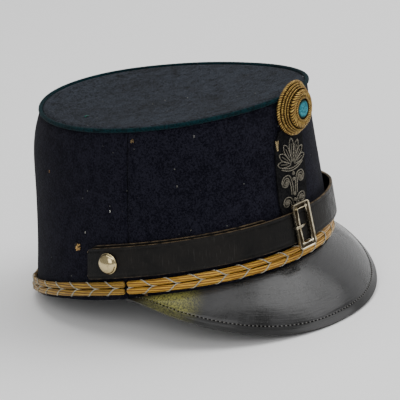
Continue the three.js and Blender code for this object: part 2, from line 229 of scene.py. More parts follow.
def deselect() -> None:
    """Leaves nothing selected."""
    if bpy.context.object and bpy.context.object.mode != "OBJECT":
        bpy.ops.object.mode_set(mode="OBJECT")
    bpy.ops.object.select_all(action="DESELECT")


def pick(*pieces: Piece) -> None:
    """Selects pieces and nothing else, the first of them active."""
    deselect()
    for piece in pieces:
        piece.select_set(True)
    bpy.context.view_layer.objects.active = pieces[0]


def settle(piece: Piece) -> None:
    """Puts a piece's place into its mesh."""
    pick(piece)
    bpy.ops.object.transform_apply(location=True, rotation=True, scale=True)


def chart_uv(piece: Piece, chart: Chart) -> None:
    """Gives a flat sheet's UV map the values of a function of its two shares."""
    for corner in piece.data.uv_layers.active.data:
        corner.uv = chart(*corner.uv)


def flat_sheet(name: str, columns: int, rows: int) -> Piece:
    """A flat sheet one unit square, with a UV map, its lower left corner at the origin.

    Args:
        name: the piece's name.
        columns: strips across it.
        rows: strips up it.

    Returns:
        The new piece.
    """
    deselect()
    middle = (0.5, 0.5, 0)
    bpy.ops.mesh.primitive_grid_add(x_subdivisions=columns, y_subdivisions=rows, size=1, location=middle)
    piece = bpy.context.object
    piece.name = piece.data.name = name
    settle(piece)
    return piece


def wrap(piece: Piece, surface: Surface) -> Piece:
    """Lays a flat sheet on a surface given by two shares from 0 to 1."""
    for vertex in piece.data.vertices:
        vertex.co = surface(vertex.co.x, vertex.co.y)
    piece.data.update()
    return piece


def wrap_solid(piece: Piece, place: Callable[[Vector], Vector]) -> None:
    """Moves every point of a mesh by a function of its place."""
    for vertex in piece.data.vertices:
        vertex.co = place(vertex.co)
    piece.data.update()


def open_mesh(piece: Piece) -> None:
    """Starts to edit a mesh, all of it selected. deselect ends it."""
    pick(piece)
    bpy.ops.object.mode_set(mode="EDIT")
    bpy.ops.mesh.select_all(action="SELECT")


def weld(piece: Piece, reach: float = 0.02 * MM) -> None:
    """Merges points that lie on each other."""
    open_mesh(piece)
    bpy.ops.mesh.remove_doubles(threshold=reach)
    deselect()


def close_holes(piece: Piece) -> None:
    """Fills the open ends of a tube."""
    open_mesh(piece)
    bpy.ops.mesh.fill_holes(sides=0)
    bpy.ops.mesh.select_all(action="SELECT")
    bpy.ops.mesh.normals_make_consistent(inside=False)
    deselect()


def apply_modifier(piece: Piece, kind: str, **values: object) -> None:
    """Adds a modifier with its values and applies it."""
    pick(piece)
    modifier = piece.modifiers.new(kind.lower(), kind)
    for key, value in values.items():
        setattr(modifier, key, value)
    bpy.ops.object.modifier_apply(modifier=modifier.name)


def thicken(piece: Piece, thickness: float, offset: float = -1.0) -> None:
    """Gives a sheet its thickness, in metres, inwards from its face unless offset says otherwise."""
    apply_modifier(piece, "SOLIDIFY", thickness=thickness, offset=offset, use_even_offset=True)


def round_edges(piece: Piece, width: float, segments: int = 3, angle: float = 50.0) -> None:
    """Rounds every edge sharper than an angle in degrees."""
    limit = math.radians(angle)
    apply_modifier(piece, "BEVEL", width=width, segments=segments, limit_method="ANGLE", angle_limit=limit)


def smooth(piece: Piece, angle: float = 45.0) -> Piece:
    """Shades a piece smooth, apart from edges sharper than an angle in degrees, and returns it."""
    pick(piece)
    bpy.ops.object.shade_smooth_by_angle(angle=math.radians(angle))
    return piece


def join(name: str, pieces: Sequence[Piece]) -> Piece:
    """Makes one piece of several, shaded smooth."""
    pick(*pieces)
    bpy.ops.object.join()
    piece = bpy.context.object
    piece.name = piece.data.name = name
    return smooth(piece, 80)


@dataclass
class Station:
    """A place on a tube's middle line with the two ways across it."""

    point: Vector
    out: Vector
    up: Vector


def make_tube(
    name: str,
    columns: int,
    around: int,
    spine: Callable[[float], Station],
    section: Chart,
    closed: bool = False,
    chart: Optional[Chart] = None,
) -> Piece:
    """A tube rolled from a flat sheet.

    Args:
        name: the piece's name.
        columns: rings along the tube.
        around: sides round it.
        spine: the station at a share of its length.
        section: the half depth and half height, in metres, at a share of its length and a turn in radians.
        closed: whether it runs round into itself.
        chart: the UV map's values at the two shares, which otherwise are the shares themselves.

    Returns:
        The new piece.
    """
    stations: dict[float, Station] = {}
    piece = flat_sheet(name, columns, around)
    if chart:
        chart_uv(piece, chart)

    def surface(u: float, v: float) -> Vector:
        """A point of the tube's skin."""
        key = round(u, 7)
        if key not in stations:
            stations[key] = spine(0.0 if closed and key >= 1 else key)
        at = stations[key]
        turn = TAU * v
        depth, height = section(u, turn)
        return at.point + at.out * (depth * math.cos(turn)) + at.up * (height * math.sin(turn))

    wrap(piece, surface)
    weld(piece, 0.005 * MM)
    if not closed:
        close_holes(piece)
    return piece


def line_station(place: Callable[[float], Vector]) -> Callable[[float], Station]:
    """Stations along a nearly level line from its points."""

    def station(u: float) -> Station:
        """The station at a share of the line."""
        step = 0.002
        along = (place(u + step) - place(u - step)).normalized()
        out = along.cross(UP).normalized()
        return Station(place(u), out, out.cross(along).normalized())

    return station


def on_path(points: Sequence[Vector], share: float, soft: bool = False) -> Vector:
    """The place at a share of the way along points, slowed down at each of them if soft."""
    spans = len(points) - 1
    reach = min(max(share, 0.0), 1.0) * spans
    i = min(int(reach), spans - 1)
    return points[i].lerp(points[i + 1], ease(0, 1, reach - i) if soft else reach - i)


def square_to(way: Vector, along: Vector) -> Vector:
    """A way out turned until it is square to a line, one unit long."""
    return (way - along * way.dot(along)).normalized()


def turned(name: str, profile: Sequence[tuple[float, float]], steps: int) -> Piece:
    """A solid turned about Z by extruding a point along its profile and spinning the line.

    Args:
        name: the piece's name.
        profile: radius and height rows in metres, from the axis round to the axis.
        steps: sides of the turned solid.

    Returns:
        The new piece.
    """
    deselect()
    bpy.ops.mesh.primitive_plane_add(size=0.001, location=(0, 0, 0))
    piece = bpy.context.object
    piece.name = piece.data.name = name
    open_mesh(piece)
    bpy.ops.mesh.merge(type="CENTER")
    bpy.ops.transform.translate(value=(profile[0][0], 0, profile[0][1]))
    for before, after in zip(profile, profile[1:]):
        move = (after[0] - before[0], 0, after[1] - before[1])
        bpy.ops.mesh.extrude_region_move(TRANSFORM_OT_translate={"value": move})
    bpy.ops.mesh.select_all(action="SELECT")
    bpy.ops.mesh.spin(steps=steps, angle=TAU, center=(0, 0, 0), axis=(0, 0, 1))
    bpy.ops.mesh.select_all(action="SELECT")
    bpy.ops.mesh.remove_doubles(threshold=0.002 * MM)
    bpy.ops.mesh.select_all(action="SELECT")
    bpy.ops.mesh.normals_make_consistent(inside=False)
    deselect()
    return piece


def basis(position: Vector, out: Vector, up: Vector) -> Matrix:
    """The matrix that carries x across, y up and z out to a place on the cap."""
    z = out.normalized()
    x = up.cross(z).normalized()
    y = z.cross(x)
    turn = Matrix((x, y, z)).transposed().to_4x4()
    return Matrix.Translation(position) @ turn


def finish_piece(
    piece: Piece,
    material: Material,
    slot: str,
    replaced: Sequence[str] = (),
    second: Optional[Material] = None,
) -> None:
    """Dresses a piece and fixes it to the cap.

    Args:
        piece: the finished mesh.
        material: its material.
        slot: the record's material slot it belongs to. Not used.
        replaced: the CAD nodes it stands for.
        second: the material of the faces marked with index 1.
    """
    marks = [face.material_index for face in piece.data.polygons]
    piece.data.materials.clear()
    piece.data.materials.append(material)
    if second:
        piece.data.materials.append(second)
        piece.data.polygons.foreach_set("material_index", marks)
    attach(piece, "root")
    if replaced:
        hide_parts(*replaced)
    LOG.info("%s: %d faces", piece.name, len(piece.data.polygons))


# Node work


class Board:
    """A node tree that is filled by short calls."""

    def __init__(self, tree: NodeTree) -> None:
        """Starts from an empty tree."""
        self.tree = tree
        tree.nodes.clear()

    def add(self, kind: str, **values: object) -> Node:
        """Adds a node and sets its sockets and properties by name.

        Args:
            kind: the node's type without its ShaderNode prefix.
            values: socket values, with _ for a blank, and properties. A socket value links.

        Returns:
            The new node.
        """
        prefix = "" if kind.startswith("Node") else "ShaderNode"
        node = self.tree.nodes.new(prefix + kind)
        for key, value in values.items():
            if hasattr(node, key):
                setattr(node, key, value)
        for key, value in values.items():
            if not hasattr(node, key):
                self.feed(self.socket(node, key), value)
        return node

    def feed(self, socket: Socket, value: object) -> None:
        """Gives a socket its constant, or links it to another socket."""
        if isinstance(value, Socket):
            self.tree.links.new(value, socket)
        else:
            socket.default_value = value

    @staticmethod
    def socket(node: Node, key: str) -> Socket:
        """Finds an input by its name, or by its number written as i0, i1 and so on."""
        if key[0] == "i" and key[1:].isdigit():
            return node.inputs[int(key[1:])]
        return node.inputs[key.replace("_", " ")]

    def math(self, operation: str, *values: object) -> Socket:
        """A Math node's result for numbers and sockets."""
        sockets = {f"i{i}": value for i, value in enumerate(values)}
        return self.add("Math", operation=operation, **sockets).outputs[0]

    def mix(self, factor: object, low: object, high: object) -> Socket:
        """A colour between two colours."""
        node = self.add("Mix", data_type="RGBA")
        for socket, value in zip((node.inputs[0], node.inputs[6], node.inputs[7]), (factor, low, high)):
            self.feed(socket, (*value, 1.0) if isinstance(value, tuple) else value)
        return node.outputs[2]

    def noise(self, where: Socket, scale: object, detail: float, roughness: float = 0.5) -> Socket:
        """Noise from 0 to 1."""
        node = self.add("TexNoise", Vector=where, Scale=scale, Detail=detail, Roughness=roughness)
        return node.outputs[0]

    def distance(self, where: Socket, place: tuple[float, ...]) -> Socket:
        """How far a place is, in metres."""
        return self.add("VectorMath", operation="DISTANCE", i0=where, i1=place).outputs["Value"]

    def ramp(self, value: object, low: float, high: float) -> Socket:
        """A value stretched from 0 at low to 1 at high, eased."""
        node = self.add("MapRange", interpolation_type="SMOOTHSTEP", i0=value, i1=low, i2=high)
        return node.outputs[0]


class Effect(Enum):
    """The shader groups that several finishes share."""

    WEAVE = "cloth_weave"
    SPECKS = "pale_specks"
    GRAIN = "leather_grain"
    WEAR = "edge_wear"
    FIBRE = "silky_fibre"
    STRANDS = "strand_grooves"


def new_group(
    effect: Effect, numbers: dict[str, float], outputs: Sequence[str]
) -> tuple[Board, Sequence[Socket]]:
    """Starts a node group with a Vector input, number inputs and value outputs.

    Args:
        effect: which effect it is.
        numbers: the name and first value of each number input.
        outputs: the names of its values.

    Returns:
        The group's board, and what its input node gives: the vector, then the numbers.
    """
    group = bpy.data.node_groups.new(effect.value, "ShaderNodeTree")
    group.interface.new_socket("Vector", in_out="INPUT", socket_type="NodeSocketVector")
    for name, value in numbers.items():
        socket = group.interface.new_socket(name, in_out="INPUT", socket_type="NodeSocketFloat")
        socket.default_value = value
    for name in outputs:
        group.interface.new_socket(name, in_out="OUTPUT", socket_type="NodeSocketFloat")
    board = Board(group)
    return board, board.add("NodeGroupInput").outputs


def weave_group() -> NodeTree:
    """Felted twill: diagonal threads half hidden by fuzz."""
    board, (vector, threads, *_) = new_group(Effect.WEAVE, {"Threads": 1600.0}, ["Height", "Shade"])
    parts = board.add("SeparateXYZ", i0=vector)
    slant = board.math("ADD", parts.outputs[0], parts.outputs[1])
    rib = board.math("SINE", board.math("MULTIPLY", slant, board.math("MULTIPLY", threads, TAU)))
    cross = board.math("SUBTRACT", parts.outputs[0], parts.outputs[2])
    weft = board.math("SINE", board.math("MULTIPLY", cross, board.math("MULTIPLY", threads, TAU * 0.8)))
    fuzz = board.noise(vector, 900.0, 3.0, 0.6)
    clumps = board.noise(vector, 160.0, 4.0, 0.65)
    cloth = board.math("MULTIPLY", board.math("ADD", rib, weft), 0.12)
    height = board.math("ADD", cloth, board.math("ADD", fuzz, board.math("MULTIPLY", clumps, 0.8)))
    shade = board.math("ADD", board.math("MULTIPLY", fuzz, 0.68), board.math("MULTIPLY", clumps, 0.32))
    board.add("NodeGroupOutput", i0=height, i1=shade)
    return board.tree


def specks_group() -> NodeTree:
    """Scattered specks of lint: small rounds at random places."""
    numbers = {"Scale": 150.0, "Size": 0.12, "Share": 0.1}
    board, source = new_group(Effect.SPECKS, numbers, ["Mask"])
    warp = board.add("TexNoise", Vector=source[0], Scale=700.0, Detail=2.0).outputs[1]
    sway = (0.0012,) * 3
    bent = board.add("VectorMath", operation="MULTIPLY_ADD", i0=warp, i1=sway, i2=source[0])
    cells = board.add("TexVoronoi", Vector=bent.outputs[0], Scale=source[1])
    near = board.math("LESS_THAN", cells.outputs["Distance"], source[2])
    chance = board.add("SeparateColor", i0=cells.outputs["Color"]).outputs[0]
    chosen = board.math("LESS_THAN", chance, source[3])
    board.add("NodeGroupOutput", i0=board.math("MULTIPLY", near, chosen))
    return board.tree


def grain_group() -> NodeTree:
    """Smooth leather: fine pores, creases and slow unevenness."""
    board, (vector, scale, *_) = new_group(Effect.GRAIN, {"Scale": 900.0}, ["Height", "Mottle"])
    pores = board.add("TexVoronoi", feature="DISTANCE_TO_EDGE", Vector=vector, Scale=scale).outputs[0]
    pores = board.ramp(pores, 0.0, 0.18)
    waves = board.noise(vector, 70.0, 5.0, 0.55)
    mottle = board.add("TexNoise", Vector=vector, Scale=28.0, Detail=6.0, Roughness=0.7, Distortion=0.6)
    height = board.math("ADD", board.math("MULTIPLY", pores, 0.25), waves)
    board.add("NodeGroupOutput", i0=height, i1=mottle.outputs[0])
    return board.tree


def wear_group() -> NodeTree:
    """Rubbed edges: an edge value broken up by noise."""
    numbers = {"Edge": 0.0, "Start": 0.8, "Scale": 300.0}
    board, source = new_group(Effect.WEAR, numbers, ["Mask"])
    patchy = board.noise(source[0], source[3], 4.0)
    shift = board.math("MULTIPLY", board.math("SUBTRACT", patchy, 0.5), 0.25)
    moved = board.math("ADD", source[1], shift)
    over = board.math("SUBTRACT", moved, source[2])
    board.add("NodeGroupOutput", i0=board.ramp(over, 0.0, 0.12))
    return board.tree


def fibre_group() -> NodeTree:
    """Parallel silky threads along a piece's own U direction."""
    board, source = new_group(Effect.FIBRE, {"Along": 40.0, "Across": 60.0}, ["Height", "Shade"])
    size = board.add("CombineXYZ", i0=source[1], i1=source[2], i2=1.0)
    scaled = board.add("VectorMath", operation="MULTIPLY", i0=source[0], i1=size.outputs[0])
    threads = board.noise(scaled.outputs[0], 1.0, 2.0)
    board.add("NodeGroupOutput", i0=threads, i1=board.ramp(threads, 0.3, 0.7))
    return board.tree


def strands_group() -> NodeTree:
    """The grooves between strands, one at each half of a whole count of U, as a mask that both dents the
    thread and paints shade into it.
    """
    board, source = new_group(Effect.STRANDS, {}, ["Groove"])
    count = board.add("SeparateXYZ", i0=source[0]).outputs[0]
    wave = board.math("COSINE", board.math("MULTIPLY", count, TAU))
    board.add("NodeGroupOutput", i0=board.math("SUBTRACT", 1.0, board.ramp(wave, -0.9, 0.0)))
    return board.tree


class Effects:
    """The shared groups, each built once."""

    _built: dict[Effect, NodeTree] = {}
    _makers: dict[Effect, Callable[[], NodeTree]] = {
        Effect.WEAVE: weave_group,
        Effect.SPECKS: specks_group,
        Effect.GRAIN: grain_group,
        Effect.WEAR: wear_group,
        Effect.FIBRE: fibre_group,
        Effect.STRANDS: strands_group,
    }

    @classmethod
    def use(cls, board: Board, effect: Effect, **values: object) -> Node:
        """Places a shared group on a board with its own values."""
        if effect not in cls._built:
            cls._built[effect] = cls._makers[effect]()
        node = board.tree.nodes.new("ShaderNodeGroup")
        node.node_tree = cls._built[effect]
        for key, value in values.items():
            board.feed(node.inputs[key], value)
        return node


Start = tuple[Material, Board, Node, Socket, Socket]


@dataclass(frozen=True)
class Finish:
    """What all finishes share: a name and the shader's even values."""

    name: str
    sheen: float = 0.0
    coat: float = 0.0
    coat_roughness: float = 0.2
    specular: float = 0.5

    def start(self) -> Start:
        """Begins a material.

        Returns:
            The material, its board, its shader, and its object and UV coordinates.
        """
        material = bpy.data.materials.new(self.name)
        material.use_nodes = True
        board = Board(material.node_tree)
        shader = board.add("BsdfPrincipled")
        shader.inputs["Sheen Weight"].default_value = self.sheen
        shader.inputs["Sheen Roughness"].default_value = 0.45
        shader.inputs["Coat Weight"].default_value = self.coat
        shader.inputs["Coat Roughness"].default_value = self.coat_roughness
        shader.inputs["Specular IOR Level"].default_value = self.specular
        output = board.add("OutputMaterial")
        board.tree.links.new(shader.outputs[0], output.inputs[0])
        where = board.add("TexCoord")
        return material, board, shader, where.outputs["Object"], where.outputs["UV"]

    @staticmethod
    def drive(board: Board, shader: Node, **sockets: Socket) -> None:
        """Links values that change over the surface to the shader's sockets."""
        for key, socket in sockets.items():
            board.tree.links.new(socket, shader.inputs[key.replace("_", " ")])

    @staticmethod
    def bump(board: Board, height: Socket, distance: float, strength: float) -> Socket:
        """A normal from a height, with its depth in metres."""
        return board.add("Bump", Height=height, Distance=distance, Strength=strength).outputs[0]


@dataclass(frozen=True)
class WoolFinish(Finish):
    """Felted wool cloth with lint on it."""

    dark: Colour = (0.0024, 0.0024, 0.0052)
    light: Colour = (0.0115, 0.0115, 0.0185)
    lint: Colour = (0.10, 0.10, 0.09)
    lint_share: float = 0.05
    depth: float = 0.00025

    def make(self) -> Material:
        """Builds the material."""
        material, board, shader, where, _ = self.start()
        weave = Effects.use(board, Effect.WEAVE, Vector=where, Threads=1500.0)
        blotch = board.noise(where, 22.0, 5.0, 0.6)
        fine = board.math("MULTIPLY", weave.outputs[1], 0.85)
        shade = board.math("ADD", fine, board.math("MULTIPLY", blotch, 0.15))
        colour = board.mix(board.ramp(shade, 0.40, 0.60), self.dark, self.light)
        pale = Effects.use(board, Effect.SPECKS, Vector=where, Scale=260.0, Size=0.1, Share=self.lint_share)
        colour = board.mix(pale.outputs[0], colour, self.lint)
        rough = board.add("MapRange", i0=blotch, i1=0.3, i2=0.7, i3=0.86, i4=0.98).outputs[0]
        self.drive(board, shader, Base_Color=colour, Roughness=rough)
        self.drive(board, shader, Normal=self.bump(board, weave.outputs[0], self.depth, 0.6))
        return material


@dataclass(frozen=True)
class LeatherFinish(Finish):
    """Black leather, polished and worn. A strap's V runs from 0 to 1 over its width."""

    dark: Colour = (0.002, 0.002, 0.002)
    light: Colour = (0.009, 0.008, 0.007)
    worn: Colour = (0.13, 0.092, 0.052)
    wear_start: float = 0.86
    smooth: float = 0.28
    rough: float = 0.5
    streaks: float = 0.0
    scuff: Colour = (0.045, 0.043, 0.040)

    def make(self) -> Material:
        """Builds the material."""
        material, board, shader, where, uv = self.start()
        grain = Effects.use(board, Effect.GRAIN, Vector=where, Scale=1100.0)
        across = board.add("SeparateXYZ", i0=uv).outputs[1]
        edge = board.math("ABSOLUTE", board.math("MULTIPLY", board.math("SUBTRACT", across, 0.5), 2.0))
        wear = Effects.use(board, Effect.WEAR, Vector=where, Edge=edge, Start=self.wear_start, Scale=260.0)
        mottle = board.ramp(grain.outputs[1], 0.35, 0.65)
        colour = board.mix(mottle, self.dark, self.light)
        colour = board.mix(wear.outputs[0], colour, self.worn)
        lines = Effects.use(board, Effect.FIBRE, Vector=uv, Along=420.0, Across=3.0)
        scratches = board.ramp(lines.outputs[0], 0.54, 0.72)
        scuffed = board.math("MULTIPLY", scratches, board.math("POWER", mottle, 2.0))
        colour = board.mix(board.math("MULTIPLY", scuffed, 0.3 * self.streaks), colour, self.scuff)
        height = board.math("ADD", grain.outputs[0], board.math("MULTIPLY", lines.outputs[0], self.streaks))
        rough = board.add("MapRange", i0=mottle, i3=self.smooth, i4=self.rough).outputs[0]
        rough = board.math("ADD", rough, board.math("MULTIPLY", lines.outputs[1], 0.14 * self.streaks))
        self.drive(board, shader, Base_Color=colour, Roughness=rough)
        self.drive(board, shader, Normal=self.bump(board, height, 0.00022, 0.45))
        return material


@dataclass(frozen=True)
class PeakFinish(Finish):
    """The peak's leather. Its U runs along it and its V is the distance from its edge in centimetres."""

    dark: Colour = (0.007, 0.007, 0.007)
    light: Colour = (0.024, 0.024, 0.025)
    lip: Colour = (0.003, 0.003, 0.003)
    # Colour, place and reach of the painted reflection of the gold cords in the peak's leather.
    gold_reflection_tint: Colour = (0.235, 0.228, 0.056)
    gold_reflection_at: tuple[float, float, float] = (-0.0795, -0.0415, 0.0262)
    gold_reflection_reach: float = 0.025
    lip_width: float = 0.42
    smooth: float = 0.20
    rough: float = 0.36

    def make(self) -> Material:
        """Builds the material."""
        material, board, shader, where, uv = self.start()
        grain = Effects.use(board, Effect.GRAIN, Vector=where, Scale=1000.0)
        creases = Effects.use(board, Effect.FIBRE, Vector=uv, Along=14.0, Across=9.0)
        mottle = board.ramp(grain.outputs[1], 0.35, 0.65)
        colour = board.mix(mottle, self.dark, self.light)
        inland = board.add("SeparateXYZ", i0=uv).outputs[1]
        lip = board.math("SUBTRACT", 1.0, board.ramp(inland, self.lip_width - 0.04, self.lip_width + 0.06))
        colour = board.mix(board.math("MULTIPLY", lip, 0.75), colour, self.lip)
        # Painted reflection: an olive-yellow patch near the right tip stands for the gold cords mirrored in
        # the leather. It is broken up by noise and kept off the lip, and the leather is made rougher there
        # too.
        away = board.distance(where, self.gold_reflection_at)
        gold_reflection_mask = board.math("SUBTRACT", 1.0, board.ramp(away, 0.25 * self.gold_reflection_reach, self.gold_reflection_reach))
        gold_reflection_breakup = board.noise(where, 1100.0, 4.0, 0.75)
        gold_reflection_mask = board.math("MULTIPLY", gold_reflection_mask, board.ramp(gold_reflection_breakup, 0.34, 0.62))
        gold_reflection_mask = board.math("MULTIPLY", gold_reflection_mask, board.math("SUBTRACT", 1.0, board.math("MULTIPLY", lip, 0.6)))
        colour = board.mix(gold_reflection_mask, colour, self.gold_reflection_tint)
        rough = board.add("MapRange", i0=mottle, i3=self.smooth, i4=self.rough).outputs[0]
        rough = board.math("ADD", rough, board.math("MULTIPLY", gold_reflection_mask, 0.25))
        rough = board.math("ADD", rough, board.math("MULTIPLY", lip, 0.18))
        height = board.math("ADD", grain.outputs[0], board.math("MULTIPLY", creases.outputs[0], 2.4))
        self.drive(board, shader, Base_Color=colour, Roughness=rough)
        self.drive(board, shader, Normal=self.bump(board, height, 0.00024, 0.5))
        return material


@dataclass(frozen=True)
class ThreadFinish(Finish):
    """Metal or silk thread. A piece's U counts its strands and its V is its length in centimetres."""

    dark: Colour = (0.10, 0.042, 0.005)
    light: Colour = (0.60, 0.35, 0.075)
    # groove: painted shade, the colour laid into the grooves between strands.
    groove: Colour = (0.020, 0.008, 0.001)
    metal: float = 0.45
    rough: float = 0.42
    fibres: float = 5.0
    stretch: float = 1.2
    depth: float = 0.0003

    def make(self) -> Material:
        """Builds the material."""
        material, board, shader, where, uv = self.start()
        fibre = Effects.use(board, Effect.FIBRE, Vector=uv, Along=self.fibres, Across=self.stretch)
        strand = Effects.use(board, Effect.STRANDS, Vector=uv)
        tarnish = board.noise(where, 150.0, 4.0, 0.65)
        colour = board.mix(fibre.outputs[1], self.dark, self.light)
        dull = tuple(0.5 * c for c in self.light)
        colour = board.mix(board.math("MULTIPLY", board.ramp(tarnish, 0.45, 0.7), 0.6), colour, dull)
        # Painted shade: the thread is darkened to the groove colour between its strands.
        colour = board.mix(strand.outputs[0], colour, self.groove)
        low, high = self.rough - 0.08, self.rough + 0.18
        rough = board.add("MapRange", i0=tarnish, i1=0.3, i2=0.7, i3=low, i4=high)
        height = board.math("SUBTRACT", fibre.outputs[0], strand.outputs[0])
        shader.inputs["Metallic"].default_value = self.metal
        self.drive(board, shader, Base_Color=colour, Roughness=rough.outputs[0])
        self.drive(board, shader, Normal=self.bump(board, height, self.depth, 0.5))
        return material


@dataclass(frozen=True)
class MetalFinish(Finish):
    """Plated metal with tarnish and fine scratches."""

    bright: Colour = (0.75, 0.71, 0.62)
    tarnished: Colour = (0.22, 0.17, 0.10)
    smooth: float = 0.14
    rough: float = 0.4
    tarnish_low: float = 0.5
    tarnish_high: float = 0.75

    def make(self) -> Material:
        """Builds the material."""
        material, board, shader, where, _ = self.start()
        stain = board.noise(where, 190.0, 6.0, 0.65)
        mask = board.ramp(stain, self.tarnish_low, self.tarnish_high)
        grain = Effects.use(board, Effect.GRAIN, Vector=where, Scale=1500.0)
        rough = board.add("MapRange", i0=mask, i3=self.smooth, i4=self.rough).outputs[0]
        shader.inputs["Metallic"].default_value = 1.0
        self.drive(board, shader, Base_Color=board.mix(mask, self.bright, self.tarnished), Roughness=rough)
        self.drive(board, shader, Normal=self.bump(board, grain.outputs[0], 0.00006, 0.35))
        return material


@dataclass(frozen=True)
class BossFinish(Finish):
    """The cockade's teal middle, dark green round its rim."""

    middle: Vector = field(default_factory=lambda: Vector((0, 0, 0)))
    radius: float = 0.0058
    pale: Colour = (0.05, 0.275, 0.325)
    deep: Colour = (0.006, 0.09, 0.12)
    rim: Colour = (0.003, 0.016, 0.009)

    def make(self) -> Material:
        """Builds the material."""
        material, board, shader, where, _ = self.start()
        weave = Effects.use(board, Effect.WEAVE, Vector=where, Threads=900.0)
        colour = board.mix(board.ramp(weave.outputs[1], 0.38, 0.62), self.deep, self.pale)
        away = board.distance(where, tuple(self.middle))
        edge = board.ramp(away, 0.66 * self.radius, 0.9 * self.radius)
        self.drive(board, shader, Base_Color=board.mix(edge, colour, self.rim))
        shader.inputs["Roughness"].default_value = 0.75
        self.drive(board, shader, Normal=self.bump(board, weave.outputs[0], 0.0004, 0.6))
        return material


# Sub-assemblies


@dataclass
class Crown:
    """The cloth crown: two wall panels, a dished top and teal piping round its edge."""

    form: CrownForm = FORM
    piping_radius: float = 1.4
    under_piping: float = 0.06
    seam_half_gap: float = 0.13
    seam_groove: float = 0.7
    groove_width: float = 1.1
    softness: float = 0.35
    trim_press: float = 0.25
    tuck: float = 0.5
    thinner: float = 0.25
    edge_radius: float = 0.55
    hem_set_back: float = 0.1
    top_roll: float = 0.9
    top_unevenness: float = 0.4
    top_thinner: float = 0.2
    top_edge_radius: float = 0.4
    piping_stitches: int = 150
    piping_pinch: float = 0.035
    piping_unevenness: float = 0.02
    wool: WoolFinish = WoolFinish("navy_wool", sheen=0.02, specular=0.05)
    # The top is the same navy wool as the walls, painted lighter: painted light for the light that falls on
    # it from above.
    top_wool_painted_lighter: WoolFinish = WoolFinish(
        "top_wool_painted_lighter", sheen=0.04, specular=0.06, dark=(0.0008, 0.0014, 0.0026), light=(0.0255, 0.0310, 0.0420)
    )
    teal: WoolFinish = WoolFinish(
        "teal_wool",
        sheen=0.03,
        specular=0.08,
        dark=(0.0004, 0.005, 0.007),
        light=(0.002, 0.019, 0.024),
        lint_share=0.02,
    )

    def panel(self, name: str, start: float, end: float, columns: int) -> Piece:
        """One wall panel.

        Args:
            name: the piece's name.
            start: degrees from the front to its first seam.
            end: degrees to its other seam.
            columns: strips along it.

        Returns:
            The panel, with its seam edges turned in and its hem rounded.
        """
        form = self.form

        def surface(u: float, v: float) -> Vector:
            """The outer face of the cloth."""
            angle = lerp(start, end, crowd_ends(u, 0.85))
            from_seam = form.wall_degree * min(angle - start, end - angle)
            groove = self.seam_groove * math.exp(-((from_seam / self.groove_width) ** 2))
            high = 1 - (self.piping_radius + self.under_piping) / form.wall_height(angle)
            share = crowd_ends(v, 0.5) * high
            p = form.wall(angle, share)
            soft = self.softness * (ripple(p, 34) - 0.6) * math.sin(math.pi * share)
            under_trim = self.trim_press * (1 - ease(0.05, 0.14, share))
            tucked = self.tuck * ease(0.97, 1.0, share / high)
            if v <= 0:
                return form.place(form.hem(angle, -groove - self.hem_set_back))
            return form.place(form.wall(angle, share, soft - groove - under_trim - tucked))

        piece = wrap(flat_sheet(name, columns, 56), surface)
        thicken(piece, (form.cloth - self.thinner) * MM)
        round_edges(piece, self.edge_radius * MM)
        return smooth(piece)

    def top(self) -> Piece:
        """The dished top, gathered from a sheet whose upper side becomes its middle."""
        form = self.form
        inset = self.piping_radius + form.gap

        def surface(u: float, v: float) -> Vector:
            """The upper face of the cloth."""
            angle = 360 * u
            share = 1 - v**1.5 if v < 1 else 0.0
            rolled = self.top_roll * ease(0.955, 1.0, share)
            bumps = ripple(form.top_point(angle, share, inset), 30)
            uneven = self.top_unevenness * bumps * (1 - share**6)
            lift = form.cloth - self.piping_radius - rolled + uneven
            return form.place(form.dished_top(angle, share, inset, lift))

        piece = wrap(flat_sheet("crown_cloth_top", 200, 46), surface)
        weld(piece)
        thicken(piece, (form.cloth - self.top_thinner) * MM)
        round_edges(piece, self.top_edge_radius * MM, 2)
        return smooth(piece)

    def piping(self) -> Piece:
        """The covered cord round the top edge."""
        form = self.form
        radius = self.piping_radius * MM

        def spine(u: float) -> Station:
            """The piping's middle line."""
            angle = 360 * u
            point, after = form.place(form.top_point(angle)), form.place(form.top_point(angle + 0.5))
            along = (after - point).normalized()
            out = along.cross(UP).normalized()
            return Station(point, out, out.cross(along))

        def section(u: float, turn: float) -> tuple[float, float]:
            """A cord drawn in a little between its stitches."""
            stitched = self.piping_pinch * (0.5 + 0.5 * math.cos(TAU * self.piping_stitches * u))
            size = radius * (1 - stitched - self.piping_unevenness * math.sin(TAU * 9 * u))
            return size, size

        return smooth(make_tube("crown_edge_piping", 900, 14, spine, section, closed=True), 60)

    def build(self) -> None:
        """Builds and dresses the crown."""
        front = self.form.seam_angle - self.seam_half_gap
        back = self.form.seam_angle + self.seam_half_gap
        wool = self.wool.make()
        for side, start, end, columns in (("front", -front, front, 190), ("rear", back, 360 - back, 250)):
            piece = self.panel(f"crown_cloth_{side}", start, end, columns)
            finish_piece(piece, wool, "navy_cloth", [f"crown_{side}_panel"])
        finish_piece(self.top(), self.top_wool_painted_lighter.make(), "top_cloth", ["crown_top"])
        finish_piece(self.piping(), self.teal.make(), "teal_piping", ["crown_piping"])


